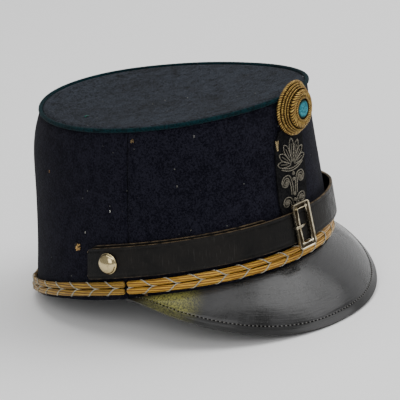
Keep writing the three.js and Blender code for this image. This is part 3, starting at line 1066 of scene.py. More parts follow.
@dataclass
class Peak:
    """The leather peak, with a raised lip and a row of stitches inside it."""

    form: CrownForm = FORM
    half_width: float = 84.9
    length: float = 81.4
    centre: float = -40.4
    sweep: float = 99.2
    thickness: float = 2.2
    inner_height: float = -0.4
    crown: float = 2.2
    tip_rise: float = 24.2
    flat: float = 0.1
    rise_power: float = 1.8
    seam_gap: float = 0.13
    thinner: float = 0.2
    set_back: float = 0.15
    edge_radius: float = 0.5
    lip: float = 0.4
    lip_width: float = 1.1
    groove: float = 0.28
    groove_width: float = 0.55
    unevenness: float = 0.22
    stitch_inset: float = 5.0
    stitch_step: float = 2.4
    stitch_depth: float = 0.1
    stitch_end: float = 0.95
    stitch_part: float = 0.1
    stitch_size: tuple[float, float, float] = (0.58, 0.34, 0.30)
    hole_size: tuple[float, float, float] = (0.52, 0.50, 0.20)
    leather: PeakFinish = PeakFinish("peak_leather", coat=0.42, coat_roughness=0.2, specular=0.16)
    # The stitches' pale grey stands for the thread and for glints of light on it: partly painted highlight.
    # The holes between them are painted shadow.
    thread: ThreadFinish = ThreadFinish(
        "peak_stitch_thread_painted_glints", dark=(0.07, 0.07, 0.065), light=(0.24, 0.235, 0.22), metal=0.0, rough=0.6
    )
    holes: MetalFinish = MetalFinish(
        "stitch_hole_shadow", bright=(0.001,) * 3, tarnished=(0.001,) * 3, smooth=0.9, rough=1.0
    )

    def edge(self, share: float) -> Vector:
        """The lower corner of the free edge, from -1 at the right tip to 1 at the left."""
        angle = math.radians(share * self.sweep)
        y = self.centre - self.length * math.cos(angle)
        lifted = max(abs(share) - self.flat, 0) / (1 - self.flat)
        rise = self.tip_rise * (1 - (1 - lifted**2) ** self.rise_power)
        up = rise / math.cos(math.radians(self.form.rest_tilt))
        return Vector((self.half_width * math.sin(angle), y, self.form.floor(y) + up))

    def inner(self, share: float) -> Vector:
        """The upper corner where the leather meets the wall."""
        angle = share * (self.form.seam_angle - self.seam_gap)
        return self.form.wall_at(angle, self.inner_height, self.form.gap)

    def normal(self, share: float) -> Vector:
        """The way out of the upper face."""
        down = self.edge(share) - self.inner(share)
        along = self.inner(share + 0.01) - self.inner(share - 0.01)
        raw = -along.cross(down).normalized()
        return raw.lerp(UP, ease(0.7, 1.0, abs(share))).normalized()

    def face(self, share: float, part: float, out: float = 0.0) -> Vector:
        """A point of the upper face, with part 0 at the wall and 1 at the free edge."""
        normal = self.normal(share)
        inner = self.inner(share)
        edge = self.edge(share) + normal * self.thickness
        crown = self.crown * 4 * part * (1 - part) * (1 - share**4)
        return inner.lerp(edge, part) + normal * (crown + out)

    def run(self, share: float) -> float:
        """The leather's width from wall to edge."""
        return max((self.edge(share) - self.inner(share)).length, 0.5)

    @staticmethod
    def spread(u: float, v: float) -> tuple[float, float]:
        """The share along the peak and the part across it at two shares of its sheet."""
        return lerp(-1, 1, crowd_ends(u, 0.4)), (1 - v) ** 1.6

    def leaf(self) -> Piece:
        """The peak's sheet of leather."""

        def surface(u: float, v: float) -> Vector:
            """The upper face, from the free edge up to the wall."""
            share, part = self.spread(u, v)
            from_edge = (1 - part) * self.run(share)
            lip = self.lip * math.exp(-((from_edge / self.lip_width) ** 2)) * (1 - share**8)
            from_groove = (from_edge - self.stitch_inset) / self.groove_width
            groove = self.groove * math.exp(-(from_groove**2)) * (1 - share**12)
            straight = self.inner(share).lerp(self.edge(share) + self.normal(share) * self.thickness, part)
            wave = self.unevenness * ripple(straight, 26) * math.sin(math.pi * part)
            return self.form.place(self.face(share, part, lip - groove + wave - self.set_back))

        def chart(u: float, v: float) -> tuple[float, float]:
            """The leather's own coordinates."""
            share, part = self.spread(u, v)
            return 2.4 * u, (1 - part) * self.run(share) / 10

        piece = flat_sheet("peak_leaf", 300, 44)
        chart_uv(piece, chart)
        wrap(piece, surface)
        thicken(piece, (self.thickness - self.thinner) * MM)
        round_edges(piece, self.edge_radius * MM)
        return smooth(piece)

    def along_edge(self, step: float) -> list[Matrix]:
        """Frames along the stitch line, a step in millimetres apart, x along it and z out.

        Near the tips, where the leather is too narrow for the line, there are none.
        """

        def at(share: float, out: float) -> Vector:
            """A place on the stitch line."""
            return self.form.place(self.face(share, 1 - self.stitch_inset / self.run(share), out))

        frames: list[Matrix] = []
        share = -self.stitch_end
        while share < self.stitch_end:
            here = at(share, -self.stitch_depth)
            far = not frames or (here - frames[-1].translation).length >= step * MM
            if far and self.run(share) * (1 - self.stitch_part) > self.stitch_inset:
                out = at(share, 1 - self.stitch_depth) - here
                after = at(share + 0.004, -self.stitch_depth)
                frames.append(basis(here, out, out.cross(after - here).normalized()))
            share += 0.001
        return frames

    def bead(self, size: tuple[float, float, float]) -> Piece:
        """A small squashed ball that stands for a stitch or a hole, its size in millimetres."""
        deselect()
        bpy.ops.mesh.primitive_uv_sphere_add(segments=8, ring_count=6, radius=1.0)
        open_mesh(bpy.context.object)
        bpy.ops.transform.resize(value=tuple(part * MM for part in size))
        deselect()
        return bpy.context.object

    def row(self, name: str, size: tuple[float, float, float], frames: Sequence[Matrix]) -> Piece:
        """Copies of one bead along frames, joined."""
        model = self.bead(size)
        pieces = []
        for frame in frames:
            copy = model.copy()
            copy.data = model.data.copy()
            copy.data.transform(frame)
            bpy.context.collection.objects.link(copy)
            pieces.append(copy)
        bpy.data.objects.remove(model)
        return join(name, pieces)

    def build(self) -> None:
        """Builds and dresses the peak."""
        finish_piece(self.leaf(), self.leather.make(), "peak_leather", ["peak"])
        frames = self.along_edge(self.stitch_step / 2)
        stitches = self.row("peak_stitches", self.stitch_size, frames[::2])
        finish_piece(stitches, self.thread.make(), "peak_leather")
        holes = self.row("peak_stitch_holes", self.hole_size, frames[1::2])
        finish_piece(holes, self.holes.make(), "peak_leather")


@dataclass
class BaseCords:
    """The pair of gold cords round the base, bound with thin silver thread."""

    form: CrownForm = FORM
    half_depth: float = 1.3
    half_height: float = 2.0
    front_height: float = 3.3
    side_height: float = 3.6
    rear_height: float = 1.6
    end_gap: float = 0.4
    end_size: float = 0.45
    end_taper: float = 1.4
    strands: int = 7
    strand_depth: float = 0.10
    lay: float = 42.0
    bind_pitch: float = 14.3
    bind_radius: float = 0.4
    bind_start: float = 0.4
    bind_twist: float = 1.6
    squeeze: float = 0.07
    gold: ThreadFinish = ThreadFinish(
        "gold_cord_silk",
        dark=(0.20, 0.075, 0.005),
        light=(0.80, 0.47, 0.050),
        # Painted shade between the cord's strands.
        groove=(0.16, 0.058, 0.004),
        fibres=4.0,
        stretch=0.8,
        metal=0.35,
        rough=0.34,
    )
    # A darker copy of the gold silk for the cords behind the seams: painted shade for the rear of the cap.
    shaded_rear_gold: ThreadFinish = ThreadFinish(
        "shaded_rear_gold_cord_silk",
        dark=(0.14, 0.062, 0.006),
        light=(0.56, 0.335, 0.038),
        groove=(0.09, 0.038, 0.004),
        fibres=4.0,
        stretch=0.8,
        metal=0.35,
        rough=0.4,
    )
    silver: ThreadFinish = ThreadFinish(
        "silver_binding_thread",
        dark=(0.16, 0.15, 0.12),
        light=(0.80, 0.76, 0.62),
        groove=(0.20, 0.18, 0.13),
        metal=0.3,
        rough=0.5,
    )

    def height(self, angle: float) -> float:
        """The lower cord's height over the base line."""
        c = math.cos(math.radians(angle))
        return lerp(self.side_height, self.front_height if c > 0 else self.rear_height, c * c)

    def line(self, start: float, end: float, raised: float) -> Callable[[float], Station]:
        """Stations of a cord's middle line.

        Args:
            start: degrees to its first end.
            end: degrees to its other end.
            raised: how far over the lower cord it lies.

        Returns:
            A function of the share of its length.
        """
        out = self.form.gap + self.half_depth

        def place(u: float) -> Vector:
            """A point of the line."""
            angle = lerp(start, end, u)
            return self.form.place(self.form.wall_at(angle, self.height(angle) + raised, out))

        return line_station(place)

    def cord(self, name: str, start: float, end: float, raised: float) -> Piece:
        """One gold cord with its strands."""
        length = self.form.base_degree * (end - start)

        def section(u: float, turn: float) -> tuple[float, float]:
            """A round of strands, narrowed at its ends."""
            from_end = min(u, 1 - u) * length
            narrow = lerp(self.end_size, 1.0, math.sqrt(min(from_end / self.end_taper, 1.0)))
            twist = self.strands * turn + TAU * length * u / self.lay
            strand = 1 - self.strand_depth * (0.5 - 0.5 * math.cos(twist)) ** 2
            bound = TAU * length * u / self.bind_pitch + self.bind_start
            slack = 1 - self.squeeze * (0.5 + 0.5 * math.cos(bound)) ** 2
            size = narrow * strand * slack * MM
            return self.half_depth * size, self.half_height * size

        def chart(u: float, v: float) -> tuple[float, float]:
            """The count of strands and the length."""
            return self.strands * v + length * u / self.lay, length * u / 10

        columns = int(length / 0.65)
        piece = make_tube(name, columns, 56, self.line(start, end, raised), section, chart=chart)
        return smooth(piece, 70)

    def binding(self, name: str, start: float, end: float, raised: float, sense: int) -> Piece:
        """The thin thread wound round one cord, so that the pair shows arrowheads that point forwards."""
        stations = self.line(start, end, raised)
        length = self.form.base_degree * (end - start)
        turns = length / self.bind_pitch
        lie = 0.1 * MM
        depth, height = self.half_depth * MM + lie, self.half_height * MM + lie

        def place(u: float) -> Vector:
            """A point of the winding."""
            at = stations(min(max(u, 0.0), 1.0))
            turn = sense * (TAU * turns * u + self.bind_start)
            return at.point + at.out * (depth * math.cos(turn)) + at.up * (height * math.sin(turn))

        def station(u: float) -> Station:
            """A station of the winding."""
            inside = lerp(0.004, 0.996, u)
            step = 0.1 / length
            along = (place(inside + step) - place(inside - step)).normalized()
            out = square_to(place(inside) - stations(inside).point, along)
            return Station(place(inside), out, out.cross(along).normalized())

        radius = self.bind_radius * MM
        piece = make_tube(
            name,
            int(turns * 22),
            6,
            station,
            lambda u, turn: (0.8 * radius, radius),
            chart=lambda u, v: (v + self.bind_twist * length * u, length * u / 10),
        )
        return smooth(piece, 80)

    def build(self) -> None:
        """Builds and dresses the four cords and their binding."""
        gold, shaded_gold, silver = self.gold.make(), self.shaded_rear_gold.make(), self.silver.make()
        front = self.form.seam_angle - self.end_gap
        rear = self.form.seam_angle + self.end_gap
        spacing = 2 * self.half_height + self.form.gap
        # The rear cords take the darker, painted-shade copy of the gold silk.
        for side, start, end, silk in (("front", -front, front, gold), ("rear", rear, 360 - rear, shaded_gold)):
            for place, raised, sense in (("lower", 0.0, 1), ("upper", spacing, -1)):
                node = f"{side}_cord_{place}"
                finish_piece(self.cord(f"{node}_strands", start, end, raised), silk, "gold_cord", [node])
                binding = self.binding(f"{node}_binding", start, end, raised, sense)
                finish_piece(binding, silver, "gold_cord")


@dataclass(frozen=True)
class StrapGap:
    """The strap's distance from the wall along its two edges at an angle."""

    angle: float
    lower: float
    upper: float


@dataclass
class ChinStrap:
    """The leather strap with its doubled end, buckle and prong."""

    form: CrownForm = FORM
    width: float = 18.6
    thickness: float = 1.6
    thinner: float = 0.1
    edge_radius: float = 0.45
    height: float = 12.4
    end: float = 90.5
    gaps: tuple[StrapGap, ...] = (
        StrapGap(-90.5, 2.2, 2.2),
        StrapGap(-55, 2.2, 2.2),
        StrapGap(-35, 2.8, 2.3),
        StrapGap(-15, 4.4, 2.6),
        StrapGap(0, 5.2, 2.8),
        StrapGap(18, 4.8, 3.5),
        StrapGap(38, 4.0, 3.9),
        StrapGap(58, 2.2, 2.2),
        StrapGap(74, 0.7, 0.7),
        StrapGap(90.5, 0.5, 0.5),
    )
    tail_start: float = -89.0
    tail_end: float = -19.0
    tail_rise: float = 2.2
    corner_length: float = 2.5
    corner_share: float = 0.13
    crease_inset: float = 0.09
    crease_width: float = 0.025
    crease_depth: float = 0.28
    buckle_angle: float = -2.4
    buckle_width: float = 14.4
    buckle_height: float = 28.0
    buckle_thickness: float = 1.8
    buckle_corner: float = 1.8
    buckle_edge_radius: float = 0.32
    buckle_bar: float = 3.3
    channel_rim: float = 0.75
    channel_slope: float = 0.3
    channel_drop: float = 0.45
    channel_depth: float = 0.9
    prong_half_depth: float = 0.33
    prong_half_width: float = 0.85
    prong_taper: float = 0.55
    leather: LeatherFinish = LeatherFinish(
        "strap_leather", specular=0.125, coat=0.0, smooth=0.22, rough=0.46, wear_start=0.93, streaks=1.4
    )
    metal: MetalFinish = MetalFinish(
        "buckle_metal",
        bright=(0.56, 0.50, 0.365),
        tarnished=(0.17, 0.135, 0.075),
        smooth=0.2,
        rough=0.45,
        tarnish_low=0.4,
    )
    # Near-black metal for the channel's faces: painted shade in the sunk channel.
    channel_shade_metal: MetalFinish = MetalFinish(
        "buckle_channel",
        bright=(0.05, 0.038, 0.022),
        tarnished=(0.012, 0.009, 0.005),
        smooth=0.5,
        rough=0.7,
    )

    def gap(self, angle: float) -> tuple[float, float]:
        """The strap's distance from the wall, along its lower and its upper edge."""
        if angle <= self.gaps[0].angle:
            return self.gaps[0].lower, self.gaps[0].upper
        for before, after in zip(self.gaps, self.gaps[1:]):
            if angle <= after.angle:
                share = ease(before.angle, after.angle, angle)
                return lerp(before.lower, after.lower, share), lerp(before.upper, after.upper, share)
        return self.gaps[-1].lower, self.gaps[-1].upper

    def face(self, angle: float, share: float, out: float) -> Vector:
        """A point of the strap at a share of its width, out from its inner face."""
        lower, upper = self.gap(angle)
        return self.form.wall_at(angle, self.height + share * self.width, lerp(lower, upper, share) + out)

    def band(self, name: str, start: float, end: float, face: Surface, columns: int) -> Piece:
        """A strip of leather with rounded ends and edges.

        Args:
            name: the piece's name.
            start: degrees to its first end.
            end: degrees to its other end.
            face: the outer face at an angle and a share of the width.
            columns: strips along it.

        Returns:
            The strip.
        """

        def surface(u: float, v: float) -> Vector:
            """The outer face, its corners rounded off."""
            angle = lerp(start, end, crowd_ends(u, 0.6))
            from_end = self.form.strap_degree * min(angle - start, end - angle)
            corner = max(1 - from_end / self.corner_length, 0.0)
            inset = self.corner_share * (1 - math.sqrt(1 - corner * corner))
            share = lerp(inset, 1 - inset, crowd_ends(v, 0.6))
            lines = (self.crease_inset, 1 - self.crease_inset)
            crease = sum(math.exp(-(((share - line) / self.crease_width) ** 2)) for line in lines)
            pressed = self.form.outward(angle) * (self.crease_depth * crease)
            return self.form.place(face(angle, share) - pressed)

        piece = wrap(flat_sheet(name, columns, 26), surface)
        thicken(piece, (self.thickness - self.thinner) * MM)
        round_edges(piece, self.edge_radius * MM)
        return smooth(piece)

    def place_on(self, angle: float, out: float) -> Matrix:
        """The frame of a fitting that lies on the strap, its z the way out."""

        def at(turn: float, share: float) -> Vector:
            """A point of the strap's outer face near the fitting."""
            return self.face(angle + turn, share, self.thickness)

        up = (at(0, 1.0) - at(0, 0.0)).normalized()
        way_out = (at(1, 0.5) - at(-1, 0.5)).normalized().cross(up).normalized()
        origin = self.form.place(Vector((0, 0, 0)))
        turn_out, turn_up = self.form.place(way_out) - origin, self.form.place(up) - origin
        return basis(self.form.place(at(0, 0.5) + way_out * out), turn_out, turn_up)

    def buckle(self) -> Piece:
        """The buckle's frame: a plate with rounded corners, inset, opened and rounded over."""
        deselect()
        bpy.ops.mesh.primitive_plane_add(size=1.0)
        piece = bpy.context.object
        piece.name = piece.data.name = "buckle_plate"
        open_mesh(piece)
        bpy.ops.transform.resize(value=(self.buckle_width * MM, self.buckle_height * MM, 1))
        bpy.ops.mesh.bevel(offset=self.buckle_corner * MM, segments=5, affect="VERTICES")
        bpy.ops.mesh.select_all(action="SELECT")
        bpy.ops.mesh.inset(thickness=self.buckle_bar * MM)
        bpy.ops.mesh.delete(type="FACE")
        deselect()
        thicken(piece, self.buckle_thickness * MM, 1.0)
        for _ in range(2):
            piece.data.materials.append(None)
        self.channel(piece)
        round_edges(piece, self.buckle_edge_radius * MM, 3, 40)
        piece.matrix_world = self.place_on(self.buckle_angle, self.form.gap)
        settle(piece)
        return smooth(piece, 35)

    def channel(self, piece: Piece) -> None:
        """Sinks a shallow channel in the frame's face, between an outer and an inner rim, and marks its
        faces for a near-black metal that paints shade into it.
        """
        pick(piece)
        bpy.ops.object.mode_set(mode="EDIT")
        bpy.ops.mesh.select_all(action="DESELECT")
        bpy.ops.object.mode_set(mode="OBJECT")
        for face in piece.data.polygons:
            face.select = face.normal.z > 0.9
        bpy.ops.object.mode_set(mode="EDIT")
        bpy.ops.mesh.inset(thickness=self.channel_rim * MM)
        bpy.ops.transform.translate(value=(0, 0, -self.channel_drop * self.channel_depth * MM))
        bpy.ops.mesh.inset(thickness=self.channel_slope * MM)
        bpy.ops.transform.translate(value=(0, 0, (self.channel_drop - 1) * self.channel_depth * MM))
        bpy.ops.object.mode_set(mode="OBJECT")
        floor = self.buckle_thickness * MM - 0.4 * self.channel_depth * MM
        for face in piece.data.polygons:
            if face.normal.z > 0.2 and face.center.z < floor:
                face.material_index = 1

    def prong(self) -> Piece:
        """The prong: a flat wire hooked over the bar, its tip on the strap."""
        left = -self.buckle_width / 2
        gap = self.form.gap
        top = self.buckle_thickness + gap
        inner = left + self.buckle_bar + gap
        rows = (
            Vector((left - gap - 0.35, 0, 0.3)),
            Vector((left - gap - 0.35, 0, top + 0.1)),
            Vector((left + 0.6, 0, top + 0.45)),
            Vector((inner - 0.4, 0, top + 0.4)),
            Vector((inner + 2.4, 0, 1.7)),
            Vector((inner + 5.6, 0, 0.45)),
        )
        frame = self.place_on(self.buckle_angle, 0.0)
        side = (frame.to_3x3() @ Vector((0, 1, 0))).normalized()

        def place(u: float) -> Vector:
            """A point along the wire."""
            return frame @ (on_path(rows, u) * MM)

        def station(u: float) -> Station:
            """A station across the wire."""
            along = (place(u + 0.06) - place(u - 0.06)).normalized()
            return Station(place(u), along.cross(side).normalized(), side)

        def section(u: float, turn: float) -> tuple[float, float]:
            """A flat wire that tapers to its tip."""
            taper = 1 - self.prong_taper * ease(0.7, 1.0, u)
            return self.prong_half_depth * MM, self.prong_half_width * taper * MM

        return smooth(make_tube("buckle_tongue", 50, 14, station, section), 50)

    def build(self) -> None:
        """Builds and dresses the strap and its buckle."""
        leather = self.leather.make()
        metal = self.metal.make()
        skin = self.thickness - self.thinner / 2

        def outer(angle: float, share: float) -> Vector:
            """The outer layer's face."""
            return self.face(angle, share, skin)

        def inner(angle: float, share: float) -> Vector:
            """The inner layer's face, close to the wall."""
            height = self.height + self.tail_rise + share * (self.width - self.tail_rise / 2)
            return self.form.wall_at(angle, height, self.form.gap + skin)

        for name, start, end, face, columns, node in (
            ("strap_outer_layer", -self.end, self.end, outer, 380, "chin_strap"),
            ("strap_inner_layer", self.tail_start, self.tail_end, inner, 170, "chin_strap_tail"),
        ):
            finish_piece(self.band(name, start, end, face, columns), leather, "strap_leather", [node])
        finish_piece(self.buckle(), metal, "buckle_metal", ["buckle_frame"], self.channel_shade_metal.make())
        finish_piece(self.prong(), metal, "buckle_metal", ["buckle_prong"])


@dataclass
class SideButtons:
    """The two domed buttons that hold the strap, each rolled in under its rim."""

    strap: ChinStrap
    angle: float = 80.8
    radius: float = 6.5
    rim: float = 0.9
    dome_inset: float = 0.55
    dome_foot: float = 1.0
    height: float = 4.4
    metal: MetalFinish = MetalFinish(
        "button_metal", bright=(0.56, 0.46, 0.25), tarnished=(0.16, 0.11, 0.045), smooth=0.15, rough=0.30
    )

    def button(self, name: str, side: int) -> Piece:
        """One button, turned from its profile.

        Args:
            name: the piece's name.
            side: -1 on the wearer's right, 1 on the left.

        Returns:
            The button in its place.
        """
        rows = [(0.0, 0.0), (self.radius - self.rim, 0.0), (self.radius - 0.25, 0.25), (self.radius, 0.6)]
        rows += [(self.radius - 0.12, 0.92), (self.radius - 0.45, 1.05)]
        for step in range(1, 12):
            turn = math.pi / 2 * step / 12
            radius = (self.radius - self.dome_inset) * math.cos(turn)
            rows.append((radius, lerp(self.dome_foot, self.height, math.sin(turn))))
        rows.append((0.0, self.height))
        piece = turned(name, [(r * MM, h * MM) for r, h in rows], 56)
        piece.matrix_world = self.strap.place_on(side * self.angle, self.strap.form.gap)
        settle(piece)
        return smooth(piece, 50)

    def build(self) -> None:
        """Builds and dresses both buttons."""
        metal = self.metal.make()
        for word, side in (("right", -1), ("left", 1)):
            piece = self.button(f"{word}_button_dome", side)
            finish_piece(piece, metal, "button_metal", [f"{word}_side_button"])


class CoilKind(Enum):
    """How a ring of the cockade is made, with the depth of its grooves as a share of its thickness."""

    ROPE = 0.2
    BEADS = 0.32
    WRAPPED = 0.22


@dataclass(frozen=True)
class Coil:
    """One ring of the cockade: its radius, height, half width, half depth and number of turns or beads."""

    name: str
    kind: CoilKind
    radius: float
    height: float
    half_width: float
    half_depth: float
    turns: int


@dataclass
class Cockade:
    """The bullion cockade on the front of the crown, bent to the wall, with a teal middle."""

    form: CrownForm = FORM
    x: float = 3.8
    height: float = 92.0
    wall_gap: float = 2.0
    stretch: float = 1.09
    bend_radius: float = 60.0
    socket: float = 5.8
    socket_floor: float = 5.0
    wrapping_slant: float = 8.0
    coils: tuple[Coil, ...] = (
        Coil("rim", CoilKind.ROPE, 14.4, 1.1, 1.0, 1.05, 66),
        Coil("second", CoilKind.BEADS, 13.35, 2.85, 0.68, 0.7, 84),
        Coil("fine_a", CoilKind.ROPE, 12.45, 4.1, 0.5, 0.52, 76),
        Coil("fine_b", CoilKind.BEADS, 11.6, 5.2, 0.46, 0.5, 80),
        Coil("broad", CoilKind.WRAPPED, 8.7, 6.35, 2.0, 1.75, 38),
        Coil("collar", CoilKind.ROPE, 6.42, 7.55, 0.62, 0.62, 34),
    )
    bullion: ThreadFinish = ThreadFinish(
        "gold_bullion",
        dark=(0.11, 0.042, 0.007),
        light=(0.56, 0.38, 0.095),
        # Near-black groove colour: painted shade between the bullion's turns.
        groove=(0.016, 0.0045, 0.0008),
        metal=0.7,
        rough=0.32,
        fibres=3.0,
        stretch=6.0,
    )
    backing: WoolFinish = WoolFinish(
        "cockade_backing",
        dark=(0.006, 0.003, 0.001),
        light=(0.022, 0.011, 0.003),
        lint_share=0.0,
        specular=0.1,
    )

    def frame(self) -> tuple[Vector, Vector, Vector, Vector]:
        """The middle, the way across, the way up and the way out, in the cap's frame."""
        angle = math.degrees(math.asin(self.x / self.form.top.half_width))

        def at(turn: float, rise: float) -> Vector:
            """A point in front of the wall near the middle."""
            return self.form.wall_at(angle + turn, self.height + rise, self.wall_gap)

        up = (at(0, 1) - at(0, -1)).normalized()
        out = (at(1, 0) - at(-1, 0)).normalized().cross(up).normalized()
        return at(0, 0), up.cross(out).normalized(), up, out

    def place(self, p: Vector) -> Vector:
        """Moves a point of the flat cockade, in millimetres, to where it is on the cap."""
        middle, across, up, out = self.frame()
        bent = p.z - p.x**2 / (2 * self.bend_radius)
        return self.form.place(middle + across * p.x + up * (p.y * self.stretch) + out * bent)

    def coil(self, coil: Coil) -> Piece:
        """One ring of bullion."""
        wrapped = coil.kind is CoilKind.WRAPPED

        def spine(u: float) -> Station:
            """The ring's middle line, flat."""
            turn = TAU * u
            out = Vector((math.cos(turn), math.sin(turn), 0))
            return Station(out * coil.radius + UP * coil.height, out, UP)

        def phase(u: float, turn: float) -> float:
            """How far the ring's make has run on at a point of its skin, a whole turn to each strand."""
            run_on = TAU * coil.turns * u
            if coil.kind is CoilKind.ROPE:
                run_on += 2 * turn
            if wrapped:
                run_on -= self.wrapping_slant * math.cos(turn)
            return run_on

        def section(u: float, turn: float) -> tuple[float, float]:
            """The ring's make as a swelling of its section."""
            swell = 1 - coil.kind.value * (0.5 - 0.5 * math.cos(phase(u, turn))) ** 2
            return coil.half_width * swell, coil.half_depth * swell

        def chart(u: float, v: float) -> tuple[float, float]:
            """The count of strands and the length round the ring."""
            return phase(u, TAU * v) / TAU, TAU * coil.radius * u / 10

        columns, around = (10 * coil.turns, 48) if wrapped else (8 * coil.turns, 14)
        piece = make_tube(f"cockade_{coil.name}", columns, around, spine, section, True, chart)
        wrap_solid(piece, self.place)
        return smooth(piece, 80)

    def backing_plate(self) -> Piece:
        """The stiff core that the coils are sewn to."""
        inside = self.socket + 0.05
        rows = [(0, 0.1), (14.2, 0.1), (14.3, 1.1), (13.0, 2.1), (12.5, 3.0), (11.8, 3.9), (11.0, 4.8)]
        rows += [(10.0, 5.3), (8.6, 7.0), (6.4, 7.0), (inside, 6.6), (inside, self.socket_floor)]
        rows += [(0, self.socket_floor)]
        piece = turned("cockade_core", rows, 72)
        wrap_solid(piece, self.place)
        return smooth(piece, 60)

    def boss(self) -> Piece:
        """The teal middle."""
        radius = self.socket - self.form.gap
        rows = [(0, 0), (1, 0), (1, 1.3), (0.97, 1.8), (0.86, 2.3), (0.7, 2.6), (0.5, 2.8)]
        rows += [(0.25, 2.88), (0, 2.9)]
        base = self.socket_floor + self.form.gap
        piece = turned("cockade_teal_boss", [(share * radius, base + h) for share, h in rows], 48)
        wrap_solid(piece, self.place)
        return smooth(piece, 60)

    def build(self) -> None:
        """Builds and dresses the cockade."""
        bullion = self.bullion.make()
        finish_piece(self.backing_plate(), self.backing.make(), "gold_bullion", ["cockade_rosette"])
        for coil in self.coils:
            finish_piece(self.coil(coil), bullion, "gold_bullion")
        middle = self.place(UP * (self.socket_floor + 2))
        boss = BossFinish("teal_boss_cloth", specular=0.15, middle=middle)
        finish_piece(self.boss(), boss.make(), "teal_boss", ["cockade_boss"])


@dataclass
class Emblem:
    """The dark patch under the cockade with a wire palmette over two pairs of scrolls."""

    form: CrownForm = FORM
    thickness: float = 1.0
    thinner: float = 0.1
    edge_radius: float = 0.3
    lean: float = -0.07
    rows: tuple[tuple[float, float], ...] = (
        (29, 7.5),
        (32, 11.0),
        (40, 12.8),
        (52, 13.2),
        (64, 13.2),
        (74, 12.8),
        (80, 10.2),
        (82.5, 6.5),
    )
    wire_radius: float = 0.35
    fan_foot: float = 58.6
    fan_turn: float = 25.0
    leaf_length: float = 16.0
    leaf_shortening: float = 1.2
    knot_radius: float = 0.6
    knot_wire: float = 0.55
    cloth: WoolFinish = WoolFinish(
        "patch_cloth",
        dark=(0.0015, 0.0015, 0.002),
        light=(0.0095, 0.0095, 0.010),
        lint_share=0.04,
        specular=0.08,
    )
    wire: ThreadFinish = ThreadFinish(
        "tarnished_wire",
        dark=(0.06, 0.052, 0.038),
        light=(0.40, 0.365, 0.285),
        # Near-black groove colour: painted shade between the wire's strands.
        groove=(0.012, 0.010, 0.007),
        metal=0.65,
        rough=0.34,
        fibres=2.0,
        stretch=8.0,
    )
    pin: ThreadFinish = ThreadFinish(
        "pale_gold_pin", dark=(0.3, 0.2, 0.08), light=(0.72, 0.58, 0.32), metal=0.6
    )

    def half_width(self, height: float) -> float:
        """The patch's half width at a height."""
        for (low, narrow), (high, wide) in zip(self.rows, self.rows[1:]):
            if height <= high:
                return lerp(narrow, wide, ease(low, high, height))
        return self.rows[-1][1]

    def at(self, x: float, height: float, out: float) -> Vector:
        """A point over the wall, x across the patch from its middle line."""
        across = x + self.lean * (self.rows[-1][0] - height)
        share = height / self.form.top_front_height
        half = lerp(self.form.base.half_width, self.form.top.half_width, share)
        angle = math.degrees(math.asin(across / half))
        return self.form.place(self.form.wall_at(angle, height, out))

    def patch(self) -> Piece:
        """The patch of dark cloth."""
        low, high = self.rows[0][0], self.rows[-1][0]

        def surface(u: float, v: float) -> Vector:
            """The patch's face."""
            height = lerp(low, high, v)
            x = (2 * u - 1) * self.half_width(height)
            return self.at(x, height, self.form.gap + self.thickness - self.thinner / 2)

        piece = wrap(flat_sheet("emblem_backing", 40, 60), surface)
        thicken(piece, (self.thickness - self.thinner) * MM)
        round_edges(piece, self.edge_radius * MM, 2)
        return smooth(piece)

    def wire_line(
        self, name: str, points: Sequence[tuple[float, float]], radius: float, closed: bool = False
    ) -> Piece:
        """A wire couched along points of the patch, smoothed between them.

        Args:
            name: the piece's name.
            points: places across and up the patch, in millimetres.
            radius: the wire's radius in millimetres.
            closed: whether it joins itself.

        Returns:
            The wire.
        """
        count = len(points)
        spans = count if closed else count - 1
        out = self.form.gap + self.thickness + 0.55 * radius

        def flat(u: float) -> tuple[float, float]:
            """A place on the smoothed line."""
            reach = (u % 1.0 if closed else min(max(u, 0.0), 1.0)) * spans
            i = min(int(reach), spans - 1)
            t = reach - i
            near = range(i - 1, i + 3)
            picks = [k % count if closed else min(max(k, 0), count - 1) for k in near]
            a, b, c, d = (Vector(points[k]) for k in picks)
            bend = b * 2 + (c - a) * t
            bend += (a * 2 - b * 5 + c * 4 - d) * t * t
            bend += (b * 3 - a - c * 3 + d) * t**3
            return bend.x / 2, bend.y / 2

        def station(u: float) -> Station:
            """A station of the wire."""
            step = 0.15 / spans
            point = self.at(*flat(u), out)
            along = (self.at(*flat(u + step), out) - self.at(*flat(u - step), out)).normalized()
            away = square_to((self.at(*flat(u), out + 1) - point).normalized(), along)
            return Station(point, away, away.cross(along).normalized())

        def section(u: float, turn: float) -> tuple[float, float]:
            """A twisted wire."""
            swell = 1 - 0.16 * (0.5 - 0.5 * math.cos(2 * turn + TAU * spans * 3 * u))
            return radius * swell * MM, radius * swell * MM

        def chart(u: float, v: float) -> tuple[float, float]:
            """The count of strands and the length."""
            return 2 * v + 3 * spans * u, 0.3 * spans * u

        return make_tube(name, spans * 16, 8, station, section, closed, chart)

    def palmette(self) -> list[Piece]:
        """A fan of leaves over two curved bands."""
        wires = []
        root = Vector((0.0, self.fan_foot))
        for number in range(-3, 4):
            lean = math.radians(number * self.fan_turn)
            length = self.leaf_length - self.leaf_shortening * abs(number)
            way = Vector((math.sin(lean), math.cos(lean)))
            side = Vector((way.y, -way.x))
            loop = ((0.14, 0.0), (0.45, 1.45), (0.8, 1.8), (1.0, 0.0), (0.8, -1.8), (0.45, -1.45))
            points = [tuple(root + way * (length * a) + side * b) for a, b in loop]
            wires.append(self.wire_line(f"leaf_{number + 3}", points, 0.9 * self.wire_radius, True))
            inner = [tuple(root + way * (length * a)) for a in (0.35, 0.5, 0.65, 0.8)]
            wires.append(self.wire_line(f"vein_{number + 3}", inner, 0.7 * self.wire_radius))
        for number, height in enumerate((57.4, 55.9)):
            reach = 10.4 - 0.8 * number
            points = [(-reach, height + 2.2), (-reach / 2, height + 0.2), (0, height - 0.5)]
            points += [(reach / 2, height + 0.2), (reach, height + 2.2)]
            wires.append(self.wire_line(f"band_{number}", points, self.wire_radius))
        return wires

